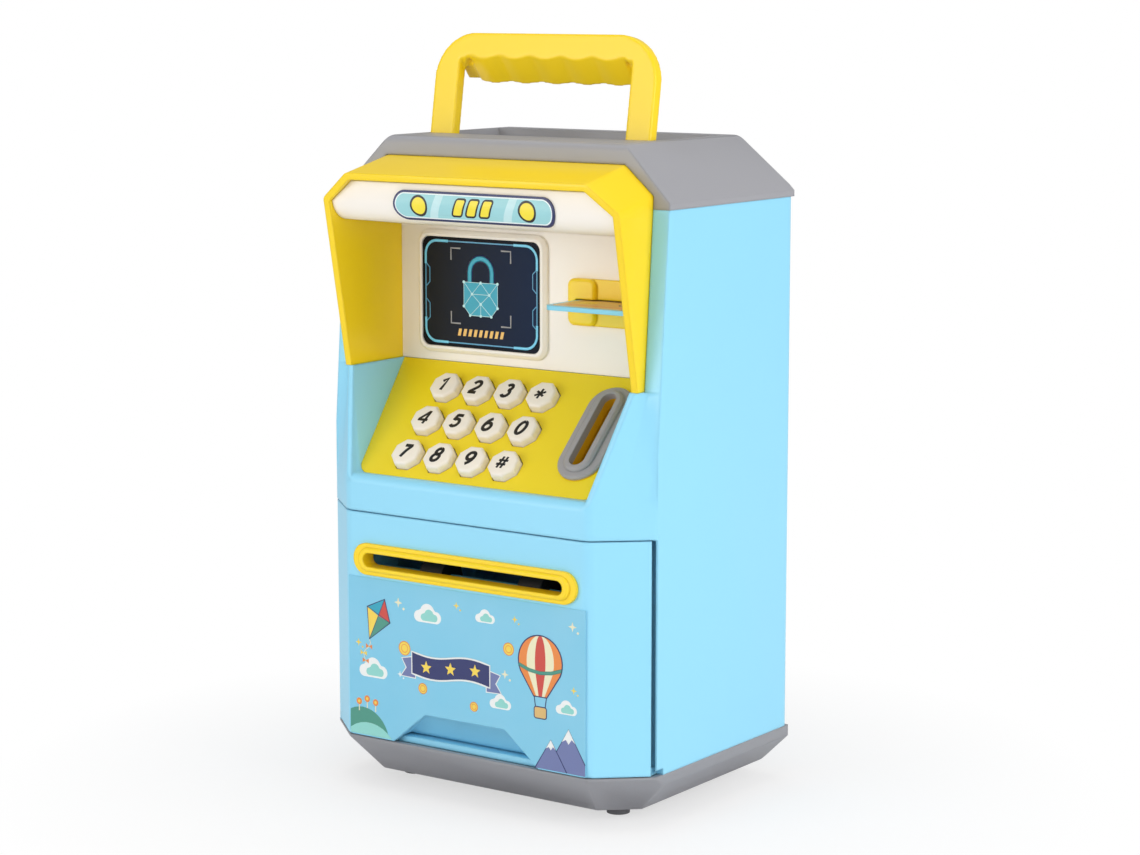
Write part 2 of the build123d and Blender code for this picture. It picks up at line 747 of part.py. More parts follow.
def chute_profile(grow):
    """Side view of the channel: straight down from the slot, then upright to the outlet."""
    reach = coin_slot_length / 2 + 0.4
    low = keypad.from_local_coords(Vector(0, coin_s - reach, 4))
    high = keypad.from_local_coords(Vector(0, coin_s + reach, 4))
    fall = math.tan(math.pi / 2 - slope)
    back = chute_outlet[1]
    z_back = high.Z - (back - high.Y) * fall
    z_front = low.Z - (chute_outlet[0] - low.Y) * fall
    points = [(low.Y, low.Z), (high.Y, high.Z), (back, z_back), (back, z_lintel - 10),
              (chute_outlet[0], z_lintel - 10), (chute_outlet[0], z_front)]
    face = make_face(Polyline(*points, close=True))
    return offset(face, amount=grow, kind=Kind.INTERSECTION) if grow else face


def coin_chute():
    reach = chute_half + chute_wall
    outside = extrude(Plane.YZ.offset(coin_x - reach) * chute_profile(chute_wall), amount=2 * reach)
    inside = extrude(Plane.YZ.offset(coin_x - chute_half) * chute_profile(0), amount=2 * chute_half)
    flange = block(coin_x - reach - 2.4, coin_x + reach + 2.4, chute_deck[0] - 2.2, chute_deck[1] + 2.2,
                   deck_top, deck_top + 1.5)
    chute = outside + flange - inside
    under_plate = keypad * Pos(0, 0, -plate_thickness - 60) * Box(200, 200, 120)
    return chute & under_plate & block(-half, half, front, rear, z_lintel - 4, z_hood)


# ---------------------------------------------------------------- card slot
def card_bezel():
    y_face = y_panel - bezel_proud
    bezel = rounded_plate(bezel_width, bezel_height, 2.5, bezel_centre_x, bezel_z, y_face, y_panel)
    for hand in (-1, 1):
        x = bezel_centre_x + hand * (bezel_width - pad_width) / 2
        pad = rounded_plate(pad_width, bezel_height, 2.5, x, bezel_z, y_face - pad_proud, y_face + 0.5)
        bezel += chamfer(pad.faces().sort_by(Axis.Y)[0].edges(), 0.8)
    sleeve = card_width / 2 + sleeve_wall
    bezel += block(bezel_centre_x - sleeve, bezel_centre_x + sleeve, y_panel - 0.5,
                   y_panel + panel_thickness,
                   bezel_z - sleeve_half, bezel_z + sleeve_half)
    slot = card_width / 2 + card_clearance
    gap = card_thickness / 2 + card_clearance
    return bezel - block(bezel_centre_x - slot, bezel_centre_x + slot, front, rear, bezel_z - gap,
                         bezel_z + gap)


def card():
    y_edge = y_panel - card_out
    sheet = extrude(Pos(bezel_centre_x, y_edge + card_length / 2) * RectangleRounded(card_width,
                                                                                     card_length, 3.0),
                    amount=card_thickness)
    return Pos(0, 0, bezel_z - card_thickness / 2) * sheet


y_guide = y_panel + panel_thickness
y_guide_end = y_panel - card_out + card_length + 0.5


def card_guide():
    outer = card_width / 2 + sleeve_wall
    gap = card_thickness / 2 + card_clearance
    slot = card_width / 2 + card_clearance
    guide = block(bezel_centre_x - outer, bezel_centre_x + outer, y_guide, y_guide_end,
                  bezel_z - gap - 1.4, bezel_z + gap + 1.4)
    guide += block(bezel_centre_x - outer - 1.8, bezel_centre_x + outer + 1.8, y_guide, y_guide + 1.6,
                   bezel_z - 6, bezel_z + 6)
    guide -= block(bezel_centre_x - slot, bezel_centre_x + slot, front, rear, bezel_z - gap, bezel_z + gap)
    return guide - block(bezel_centre_x - 9, bezel_centre_x + 9, y_guide + 8, y_guide_end - 6, bezel_z,
                         bezel_z + 9)


def card_sensor():
    """Fork that looks across the card's path behind the guide."""
    gap = card_thickness / 2 + card_clearance
    fork = block(bezel_centre_x - 5, bezel_centre_x + 5, y_guide_end, y_guide_end + card_push + 3.5,
                 bezel_z - gap - 2.6, bezel_z + gap + 2.6)
    return fork - block(bezel_centre_x - 6, bezel_centre_x + 6, y_guide_end - 1, y_guide_end + card_push,
                        bezel_z - gap, bezel_z + gap)


# ---------------------------------------------------------------- gears
def gear(module, teeth, thin, turn):
    """Involute spur gear lying in the XY plane; turn is the direction of one tooth's centre, in degrees."""
    pitch = module * teeth / 2
    base = pitch * math.cos(math.radians(20))
    tip = pitch + 0.9 * module
    root = pitch - 1.2 * module

    def involute(radius):
        return math.sqrt(max(0.0, (radius / base) ** 2 - 1)) - math.acos(min(1.0, base / radius))

    half_tooth = math.pi / (2 * teeth) - thin / (2 * pitch)
    radii = [pitch, tip]
    flank = [(root, half_tooth + involute(pitch))]
    flank += [(radius, half_tooth + involute(pitch) - involute(radius)) for radius in radii]
    points = []
    for tooth in range(teeth):
        centre = math.radians(turn) + 2 * math.pi * tooth / teeth
        side = [(radius, centre - angle) for radius, angle in flank]
        side += [(radius, centre + angle) for radius, angle in reversed(flank)]
        points += [(radius * math.cos(angle), radius * math.sin(angle)) for radius, angle in side]
    return extrude(make_face(Polyline(*points, close=True)), amount=gear_width)


def on_shaft(shape, y, z, x):
    """Moves a piece modelled along Z onto a shaft along X: its X axis points back, its Y axis up."""
    return Plane(origin=(x, y, z), x_dir=(0, 1, 0), z_dir=(1, 0, 0)) * shape


# ---------------------------------------------------------------- bill feeder, carried by the door
z_bill = z_sill + slot_centre_over_sill
y_feed = front + feed_axis_setback
z_drive = z_bill - nip_gap / 2 - roller_radius
z_idler = z_bill + nip_gap / 2 + roller_radius
gear_inner = feeder_half + feeder_wall + 0.5
nip_module = (2 * roller_radius + nip_gap) / nip_teeth
motor_distance = gear_module * (gear_teeth + pinion_teeth) / 2
motor_angle = -20.0
y_motor = y_feed + motor_distance * math.cos(math.radians(motor_angle))
z_motor = z_drive + motor_distance * math.sin(math.radians(motor_angle))
y_flange = front + wall + 3.0
feeder_bottom = z_drive - 12.8
feeder_top = z_idler + 8.0
feeder_screws_at = [(hand * (feeder_half - feeder_screw_inset), z) for hand in (-1, 1)
                    for z in (feeder_bottom - 3.2, feeder_top - 4.6)]


def feeder_frame():
    frame = block(-feeder_half - feeder_wall, feeder_half + feeder_wall, y_flange, front + 20.0,
                  feeder_bottom, feeder_top)
    frame += block(feeder_half, feeder_half + feeder_wall, front + 19.0, y_motor + motor_radius + 1.4,
                   feeder_bottom, z_motor + motor_radius + 1.2)
    frame -= block(-feeder_half, feeder_half, y_flange - 1, front + 21.0, feeder_bottom + 1.8,
                   feeder_top - 1.8)
    for x, z in feeder_screws_at:
        frame += block(x - 5, x + 5, y_flange, y_flange + 1.6, z - 3.4, z + 3.4)
        frame -= prism_y(2 * screw_radius + 0.3, 6, x, z, y_flange - 1, y_flange + 3)
    for z in (z_drive, z_idler):
        frame -= rod_x(shaft_radius + running_clearance, y_feed, z, -half, half)
    return frame - rod_x(3.2, y_motor, z_motor, feeder_half - 1, half)


def rollers(z):
    pair = [rod_x(roller_radius, y_feed, z, x - roller_length / 2, x + roller_length / 2)
            - rod_x(shaft_radius, y_feed, z, x - roller_length, x + roller_length)
            for x in (roller_inset - feeder_half, feeder_half - roller_inset)]
    return Compound(children=pair)


def shaft_with_gears(z, nip_turn, far_end):
    shaft = rod_x(shaft_radius, y_feed, z, -gear_inner - gear_width, far_end)
    wheel = gear(nip_module, nip_teeth, gear_backlash, nip_turn)
    return shaft + on_shaft(wheel, y_feed, z, -gear_inner - gear_width)


def drive_shaft():
    # One nip-gear tooth points straight up, and one drive-gear tooth points at the motor.
    shaft = shaft_with_gears(z_drive, 90.0, gear_inner + gear_width)
    wheel = gear(gear_module, gear_teeth, gear_backlash, motor_angle)
    return shaft + on_shaft(wheel, y_feed, z_drive, gear_inner)


def idler_shaft():
    # A gap of the idler's gear points straight down at the drive shaft's tooth.
    shaft = shaft_with_gears(z_idler, -90.0 + 180.0 / nip_teeth, gear_inner - 0.3)
    return shaft + rod_x(shaft_radius + 1.2, y_feed, z_idler, feeder_half - 2.5, feeder_half - 0.3)


def feed_motor():
    can = rod_x(motor_radius, y_motor, z_motor, feeder_half - motor_length, feeder_half)
    can += rod_x(3.0, y_motor, z_motor, feeder_half - 0.5, feeder_half + feeder_wall)
    return can - rod_x(1.0 + running_clearance, y_motor, z_motor, feeder_half - 8, half)


def motor_pinion():
    wheel = gear(gear_module, pinion_teeth, gear_backlash, motor_angle + 180.0 + 180.0 / pinion_teeth)
    axle = rod_x(1.0, y_motor, z_motor, feeder_half - 7.5, gear_inner + gear_width)
    return axle + on_shaft(wheel, y_motor, z_motor, gear_inner)


def feeder_screws():
    return Compound(children=[
        Pos(x, y_flange + 1.6, z) * Rot(90, 0, 0) * screw(5.0) for x, z in feeder_screws_at])


# ---------------------------------------------------------------- door
z_door_bottom = z_sill + door_gap
z_door_top = z_lintel - door_gap
pull_top = z_sill + pull_height + 0.4
pull_slope = (pull_bottom_half - pull_top_half) / (pull_height - 0.4)


def pull_notch(grow, z_low, z_high, y0, y1):
    """Prism of the pull recess's front view between two heights, its upper corners rounded."""
    width = pull_top_half + grow
    points = mirrored([
        (width - (z_high - pull_top) * pull_slope, z_high), (width + (pull_top - z_low) * pull_slope, z_low),
    ])
    face = make_face(Polyline(*points, close=True))
    face = fillet(face.vertices().sort_by(Axis.Y)[-2:], pull_radius + grow)
    return extrude(Plane.XZ.offset(-y1) * face, amount=y1 - y0)


def door():
    panel = body_prism(0, z_door_bottom, z_door_top) - body_prism(wall, z_door_bottom - 1, z_door_top + 1)
    turn = math.degrees(math.atan2(corner_run_y, corner_run_x))
    panel &= block(-half - 1, half + 1, front - 1, front + corner_run_y + 0.5, z_sill, z_lintel)
    edge_place = Pos(half - door_edge_gap * corner_run_x / corner_run_y,
                     front + corner_run_y - door_edge_gap, 0) * Rot(0, 0, turn)
    panel -= edge_place * block(0, 12, -12, 12, z_sill, z_lintel)
    panel += edge_place * block(-2.8, -0.8, 0.6, 5.0, z_sill + wall + door_gap, z_door_top)
    hinge_place = Pos(hinge_x, hinge_y, 0) * Rot(0, 0, -turn)
    panel -= hinge_place * block(-12, 0, -12, 12, z_sill, z_lintel)
    panel += rod_z(hinge_radius, hinge_x, hinge_y, z_door_bottom, z_door_top)
    panel -= rod_z(hinge_radius + door_gap, hinge_x, hinge_y, z_sill, z_sill + wall + door_gap)
    bore = hinge_pin_radius + running_clearance
    panel -= rod_z(bore, hinge_x, hinge_y, z_sill, z_sill + hinge_pin_length + 1)
    panel -= rod_z(bore, hinge_x, hinge_y, z_lintel - 5.2, z_lintel)

    # Pull recess at the lower edge.
    z_clear = z_sill + wall + door_gap + 0.2
    scoop_rise = pull_top - z_clear
    scoop_length = math.hypot(scoop_rise, pull_depth)
    backing = along_x([
        (front + 0.5, z_clear), (front + pull_depth + 2.6, z_clear), (front + 3.0, pull_top + 2.4),
        (front + 0.5, pull_top + 2.4),
    ], -half, half)
    panel += backing & pull_notch(2.0, z_clear - 1, pull_top + 3, front, front + 20)
    upper = (front, pull_top)
    lower = (front + pull_depth, z_clear)
    middle = (front + pull_depth / 2 + pull_bulge * scoop_rise / scoop_length,
              z_clear + scoop_rise / 2 + pull_bulge * pull_depth / scoop_length)
    straight = Polyline(upper, (front - 1, pull_top), (front - 1, z_sill - 1),
                        (front + pull_depth, z_sill - 1), lower)
    hollow = make_face([*straight.edges(), ThreePointArc(lower, middle, upper)])
    scoop = extrude(Plane.YZ.offset(-half) * hollow, amount=body_width)
    panel -= scoop & pull_notch(0, z_sill - 1, pull_top, front - 2, front + 20)

    # Bill slot, feeder bosses and the latch's keeper.
    panel -= stadium(slot_width + 2.6, slot_height + 2.2, z_bill, front - 1, front + wall + 1)
    for x, z in feeder_screws_at:
        panel += prism_y(5.6, 8, x, z, front + 0.5, y_flange)
        panel -= prism_y(2 * screw_radius, 6, x, z, front + 1.1, y_flange + 1)
    keeper = block(bolt_x - 3.6, bolt_x + 3.6, front, front + bolt_setback + 4.2, z_lintel - 6.5,
                   z_lintel - 3.5)
    keeper &= body_prism(wall / 2, z_sill, z_lintel)
    panel += keeper
    return panel - rod_z(bolt_radius + 0.4, bolt_x, front + bolt_setback, z_lintel - 9, z_lintel - 1)


def door_label():
    label = block(-flat_half + 0.4, flat_half - 0.4, front - label_thickness, front,
                  z_door_bottom + 0.2, z_sill + 0.6 + label_height)
    return label - pull_notch(0.3, z_sill - 1, pull_top + 0.3, front - 2, front + 2)


def bill_slot_frame():
    y_ridge = front - slot_frame_proud
    frame = stadium(slot_frame_width, slot_frame_height, z_bill, front - slot_frame_proud / 2, front)
    ridge = stadium(slot_width + 4.6, slot_height + 3.2, z_bill, y_ridge, front)
    frame += chamfer(ridge.faces().sort_by(Axis.Y)[0].edges(), 0.6)
    frame += stadium(slot_width + 2.4, slot_height + 2.0, z_bill, front - 0.5, front + wall + 1.2)
    return frame - stadium(slot_width, slot_height, z_bill, y_ridge - 1, front + wall + 2)


def door_hinge_pins():
    low = rod_z(hinge_pin_radius, hinge_x, hinge_y, z_sill + 0.3, z_sill + 0.3 + hinge_pin_length)
    high = rod_z(hinge_pin_radius, hinge_x, hinge_y, z_lintel + 4.4 - hinge_pin_length, z_lintel + 4.4)
    return Compound(children=[low, high])


# ---------------------------------------------------------------- latch
def latch_solenoid():
    x, y = bolt_x, front + bolt_setback
    frame = block(x - 5.5, x + 5.5, y - 5.5, y + 5.5, deck_top, deck_top + 11.3)
    return frame - rod_z(bolt_radius + running_clearance, x, y, deck_top - 1, deck_top + 9.9)


def latch_bolt():
    return rod_z(bolt_radius, bolt_x, front + bolt_setback, z_lintel - 7.3 + bolt_lift,
                 deck_top + 3.4 + bolt_lift)


# ---------------------------------------------------------------- cap and handle
z_pivot = z_top - pivot_depth
y_pivot = front + pivot_setback
y_well_front = y_pivot - handle_thickness / 2 - well_gap
y_well_rear = y_pivot + handle_rise + 1.4
well_half = handle_half + well_gap


def cap_form(inset):
    lean = brow_lean / (z_seam - z_lintel - brow_lean_start)
    slant = inset * math.tan(math.radians(22.5))
    low = z_seam - (1 if inset else 0)
    profile = along_y(mirrored([
        (half - inset, low), (half - inset, z_seam + cap_lip - slant), (cap_top_half - slant, z_top - inset),
    ]), front, rear)
    y_low = brow(z_seam) + inset
    side = along_x([
        (y_low, low), (y_low + lean * cap_height, z_top - inset),
        (rear - cap_rear_inset - inset, z_top - inset), (rear - inset, z_seam + cap_lip * 2),
        (rear - inset, low),
    ], -half, half)
    return profile & side


def top_cap():
    outer = cap_form(0)
    top_face = outer.faces().sort_by(Axis.Z)[-1]
    outer = fillet(top_face.edges(), cap_edge_radius)
    cap = outer - cap_form(wall)
    cap -= hood_form(-0.15, front + 10, front + 24.4)
    for x, y in cap_screws_at:
        cap += prism_z(6.8, 8, x, y, z_seam, z_seam + 8) & cap_form(0)
        cap -= prism_z(2 * screw_radius, 6, x, y, z_seam - 1, z_seam + 5.4)
    well = block(-well_half - well_wall, well_half + well_wall, y_well_front - well_wall,
                 y_well_rear + well_wall,
                 z_top - well_depth - well_wall, z_top - 1)
    cap += well
    cap -= block(-well_half, well_half, y_well_front, y_well_rear, z_top - well_depth, z_top + 1)
    lean = math.radians(handle_lean)
    z_touch = pivot_depth - well_lip
    y_stop = y_pivot - handle_thickness / 2 / math.cos(lean) + z_touch * math.tan(lean) - 0.03
    cap += block(-well_half, well_half, y_well_front - 0.5, y_stop, z_top - well_lip, z_top)
    return cap - rod_x(pivot_radius + pivot_clearance, y_pivot, z_pivot, -well_half - 1.5, well_half + 1.5)


def handle():
    """Upright on its pivot at the origin, then leant back."""
    top = handle_rise
    outline = make_face(Polyline(*mirrored([(handle_half, top), (handle_half, 0)]), close=True))
    outline = fillet(outline.vertices().sort_by(Axis.Y)[-2:], handle_outer_radius)
    inner_half = handle_half - handle_leg
    inner = make_face(Polyline(*mirrored([(inner_half, top - grip_front_height), (inner_half, -1)]),
                               close=True))
    inner = fillet(inner.vertices().sort_by(Axis.Y)[-2:], handle_inner_radius)
    leg_half = handle_thickness / 2
    bow = Plane.XZ.offset(-leg_half) * outline
    bow = extrude(bow, amount=handle_thickness)
    grip_back = leg_half + grip_depth
    block_top = extrude(Plane.XZ.offset(-grip_back) * outline, amount=grip_depth + 0.5)
    wedge = along_x([
        (leg_half - 0.5, top), (grip_back - 2.0, top - 1.2), (grip_back, top - 4.5),
        (grip_back, top - grip_front_height - grip_drop + 1.0),
        (leg_half - 0.5, top - grip_front_height - 2.0),
    ], -inner_half - 2, inner_half + 2)
    bow += block_top & wedge
    bow -= extrude(Plane.XZ.offset(-leg_half) * inner, amount=handle_thickness + 1)
    under = along_x([
        (-leg_half - 1, top - grip_front_height), (grip_back, top - grip_front_height - grip_drop),
        (grip_back, 0), (-leg_half - 1, 0),
    ], -inner_half, inner_half)
    bow -= under
    for index in range(bump_count):
        x = (index - (bump_count - 1) / 2) * bump_pitch
        radius = (bump_pitch / 2) ** 2 / (2 * 1.3) + 0.65
        place = Plane(origin=(x, -leg_half, top - grip_front_height + radius - 1.25), x_dir=(1, 0, 0),
                      z_dir=(0, grip_back + leg_half, -grip_drop))
        bump = place * Cylinder(radius, 3 * grip_back, align=(Align.CENTER,) * 2 + (Align.MIN,))
        cell = block(x - bump_pitch / 2, x + bump_pitch / 2, -leg_half, grip_back,
                     top - grip_front_height - grip_drop - 1.3, top - grip_front_height + 0.5)
        bow += bump & cell
    for hand in (-1, 1):
        x0, x1 = sorted((hand * (handle_half - handle_leg), hand * handle_half))
        bow += rod_x(leg_half, 0, 0, x0, x1)
        x0, x1 = sorted((hand * (handle_half - 1), hand * (well_half + 1.3)))
        bow += rod_x(pivot_radius, 0, 0, x0, x1)
    return Pos(0, y_pivot, z_pivot) * Rot(-handle_lean, 0, 0) * bow


# ---------------------------------------------------------------- rear cover, batteries, speaker, boards
battery_z = z_lintel + 32.4
bay_half = cell_count * (cell_radius + 0.4) + 0.4
bay_rise = cell_length / 2 + 3.0
y_cover = rear - wall
speaker_z = z_seam - 20.2


def rear_cover():
    cover = block(-half + wall + 0.2, half - wall - 0.2, y_cover, rear, z_sill + wall + 0.2, z_seam - 0.2)
    for x, z in rear_screws_at:
        cover += prism_y(7.2, 8, x, z, rear - well_depth_of_screw, rear)
        cover -= prism_y(2 * screw_head_radius + 0.4, 8, x, z, rear - well_depth_of_screw + 1.5, rear + 1)
        cover -= prism_y(2 * screw_radius + 0.3, 6, x, z, rear - 12, rear)
    cover -= block(-bay_half - 0.2, bay_half + 0.2, y_cover - 1, rear + 1,
                   battery_z - bay_rise - 0.2, battery_z + bay_rise + 0.2)
    for step in range(-3, 4):
        reach = 14.0 - abs(step) * 2.2
        cover -= block(-reach, reach, y_cover - 1, rear + 1, speaker_z + step * 4.0 - 0.9,
                       speaker_z + step * 4.0 + 0.9)
    ring = rod_y(speaker_radius + 1.4, 0, speaker_z, y_cover - 2.4, y_cover + 0.2)
    return cover + (ring - rod_y(speaker_radius + 0.15, 0, speaker_z, y_cover - 3, y_cover))


def rear_screws():
    y_head = rear - well_depth_of_screw + 1.5
    return Compound(children=[Pos(x, y_head, z) * Rot(90, 0, 0) * screw(9.0) for x, z in rear_screws_at])


def speaker():
    body = rod_y(speaker_radius, 0, speaker_z, y_cover - 1.8, y_cover)
    return body + rod_y(11.0, 0, speaker_z, y_cover - 8.0, y_cover - 1.0)


y_holder = y_cover - 2 * cell_radius - 2.2


def battery_holder():
    holder = block(-bay_half - 2, bay_half + 2, y_holder, y_cover, battery_z - bay_rise - 2,
                   battery_z + bay_rise + 2)
    for index in range(cell_count):
        x = (index - (cell_count - 1) / 2) * (2 * cell_radius + 0.8)
        y = y_holder + cell_radius + 1.6
        holder -= rod_z(cell_radius + 0.2, x, y, battery_z - bay_rise, battery_z + bay_rise)
        holder -= block(x - cell_radius - 0.2, x + cell_radius + 0.2, y, rear,
                        battery_z - bay_rise, battery_z + bay_rise)
    return holder


def cells():
    made = []
    for index in range(cell_count):
        x = (index - (cell_count - 1) / 2) * (2 * cell_radius + 0.8)
        y = y_holder + cell_radius + 1.4
        flip = 1 if index % 2 else -1
        can = rod_z(cell_radius, x, y, battery_z - cell_length / 2, battery_z + cell_length / 2 - 1.2)
        can += prism_z(5.4, 8, x, y, battery_z + cell_length / 2 - 1.4, battery_z + cell_length / 2)
        made.append(Pos(x, y, battery_z) * Rot(90 + 90 * flip, 0, 0) * Pos(-x, -y, -battery_z) * can)
    return Compound(children=made)


def battery_contacts():
    made = []
    for index in range(cell_count):
        x = (index - (cell_count - 1) / 2) * (2 * cell_radius + 0.8)
        y = y_holder + cell_radius + 1.4
        for hand in (-1, 1):
            wall_z = battery_z + hand * bay_rise
            inner_z = battery_z + hand * cell_length / 2
            plate = block(x - 5, x + 5, y - 5, y + 5, min(wall_z, wall_z - hand * 0.5),
                          max(wall_z, wall_z - hand * 0.5))
            z0, z1 = sorted((wall_z - hand * 0.4, inner_z))
            made.append(plate + block(x - 1.8, x + 1.8, y - 1.8, y + 1.8, z0, z1))
    return Compound(children=made)


def battery_cover():
    lid = block(-bay_half, bay_half, y_cover + 0.2, rear, battery_z - bay_rise, battery_z + bay_rise)
    lid = chamfer(lid.faces().sort_by(Axis.Y)[-1].edges(), 0.4)
    for index in range(3):
        lid -= block(-8, 8, rear - 0.6, rear + 1, battery_z - 18 + index * 4, battery_z - 16.4 + index * 4)
    return lid


def main_board():
    board = block(-46, 22, rear - 52, rear - 24, deck_top + 3.0, deck_top + 4.6)
    board += block(-20, -6, rear - 46, rear - 32, deck_top + 4.5, deck_top + 6.4)
    for x in (-34, 4):
        board += prism_z(6.0, 8, x, rear - 30, deck_top + 4.5, deck_top + 8)
    for x, y in ((-43, rear - 49), (-43, rear - 27), (19, rear - 49), (19, rear - 27)):
        board += prism_z(3.6, 6, x, y, deck_top, deck_top + 3.1)
    return board


def upright_screws(places, z_head, length):
    return Compound(children=[Pos(x, y, z_head) * screw(length) for x, y in places])


# ---------------------------------------------------------------- every piece
pieces = {
    "base_tray": base_tray, "feet": feet, "main_shell": main_shell, "deck_plate": deck_plate,
    "top_cap": top_cap, "handle": handle,
    "visor_hood": visor_hood, "console_panel": console_panel, "sign_plate": sign_plate,
    "display_window": display_window, "display_light_board": display_light_board,
    "keypad_plate": keypad_plate,
    "keypad_mat": keypad_mat, "keypad_board": keypad_board, "keypad_screws": keypad_screws,
    "coin_ring": coin_ring, "coin_chute": coin_chute, "card_bezel": card_bezel, "card": card,
    "card_guide": card_guide, "card_sensor": card_sensor, "door": door, "door_label": door_label,
    "bill_slot_frame": bill_slot_frame, "door_hinge_pins": door_hinge_pins, "feeder_frame": feeder_frame,
    "feeder_screws": feeder_screws, "drive_shaft": drive_shaft, "idler_shaft": idler_shaft,
    "feed_motor": feed_motor, "motor_pinion": motor_pinion, "latch_solenoid": latch_solenoid,
    "latch_bolt": latch_bolt, "rear_cover": rear_cover, "rear_screws": rear_screws, "speaker": speaker,
    "battery_holder": battery_holder, "cells": cells, "battery_contacts": battery_contacts,
    "battery_cover": battery_cover, "main_board": main_board,
}
for name, make in pieces.items():
    save(make(), name)
for row, names in enumerate(key_names):
    for column, name in enumerate(names):
        save(key(row, column), "key_" + name)
save(rollers(z_drive), "drive_rollers")
save(rollers(z_idler), "idler_rollers")
save(upright_screws(base_screw_places, z_base + 3.0, 11.0), "base_screws")
save(upright_screws(cap_screws_at, z_seam - 4.0, 9.0), "cap_screws")
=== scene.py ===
import json
import logging
import math
from contextlib import contextmanager
from dataclasses import dataclass
from enum import Enum
from itertools import product
from typing import Callable, Dict, Iterator, List, Sequence, Tuple, Union

import bpy
from mathutils import Matrix, Vector
from mathutils.bvhtree import BVHTree

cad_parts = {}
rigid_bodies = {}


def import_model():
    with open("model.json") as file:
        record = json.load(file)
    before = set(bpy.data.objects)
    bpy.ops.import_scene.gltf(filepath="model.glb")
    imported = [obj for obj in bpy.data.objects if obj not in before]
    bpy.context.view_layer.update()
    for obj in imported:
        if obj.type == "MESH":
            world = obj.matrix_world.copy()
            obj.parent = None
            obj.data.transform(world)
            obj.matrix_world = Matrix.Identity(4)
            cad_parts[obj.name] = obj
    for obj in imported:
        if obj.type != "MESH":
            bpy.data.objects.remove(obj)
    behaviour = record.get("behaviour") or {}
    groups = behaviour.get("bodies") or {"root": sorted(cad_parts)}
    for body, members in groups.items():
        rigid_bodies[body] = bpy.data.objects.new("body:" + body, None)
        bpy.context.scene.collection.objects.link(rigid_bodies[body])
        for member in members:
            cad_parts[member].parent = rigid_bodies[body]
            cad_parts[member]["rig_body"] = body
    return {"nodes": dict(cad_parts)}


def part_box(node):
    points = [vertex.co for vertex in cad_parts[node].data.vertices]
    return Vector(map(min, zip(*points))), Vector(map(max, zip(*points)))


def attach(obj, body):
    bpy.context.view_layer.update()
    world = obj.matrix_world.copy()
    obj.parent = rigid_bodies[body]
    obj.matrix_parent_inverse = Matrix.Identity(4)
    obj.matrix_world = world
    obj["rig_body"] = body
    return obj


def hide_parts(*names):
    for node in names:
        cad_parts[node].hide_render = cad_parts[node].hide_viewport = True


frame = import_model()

logging.basicConfig(level=logging.INFO, format="%(message)s")
log = logging.getLogger("cash_machine")

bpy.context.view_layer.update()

Socket = bpy.types.NodeSocket
Colour = Tuple[float, float, float]
Point = Tuple[float, float]
Pair = Tuple[float, float]
Place = Tuple[float, float, float]
Spot = Tuple[float, float, float]
Number = Union[float, Socket]
Tint = Union[Colour, Socket]

MM = 0.001
WHITE: Colour = (1.0, 1.0, 1.0)
PLATE_SLOPE = math.radians(43.5)


# ------------------------------------------------------------------ finishes
class Surface(Enum):
    """How a moulded surface breaks up the light: its roughness, and the scale and depth of its grain."""

    GLOSSY = (0.30, 900.0, 0.03)
    SATIN = (0.44, 1400.0, 0.08)
    GRAINED = (0.56, 2200.0, 0.22)


def linear(red: int, green: int, blue: int) -> Colour:
    """Turn a colour written as on a paint chart into scene colour.

    Args:
        red: Red part, 0 to 255.
        green: Green part, 0 to 255.
        blue: Blue part, 0 to 255.

    Returns:
        The same colour in linear light.
    """
    def one(value: int) -> float:
        """Linear light of one channel."""
        share = value / 255
        return share / 12.92 if share <= 0.04045 else ((share + 0.055) / 1.055) ** 2.4

    return one(red), one(green), one(blue)


def shade(colour: Colour, share: float) -> Colour:
    """Return a colour made darker or lighter, with no part above 1."""
    return tuple(min(1.0, share * part) for part in colour)


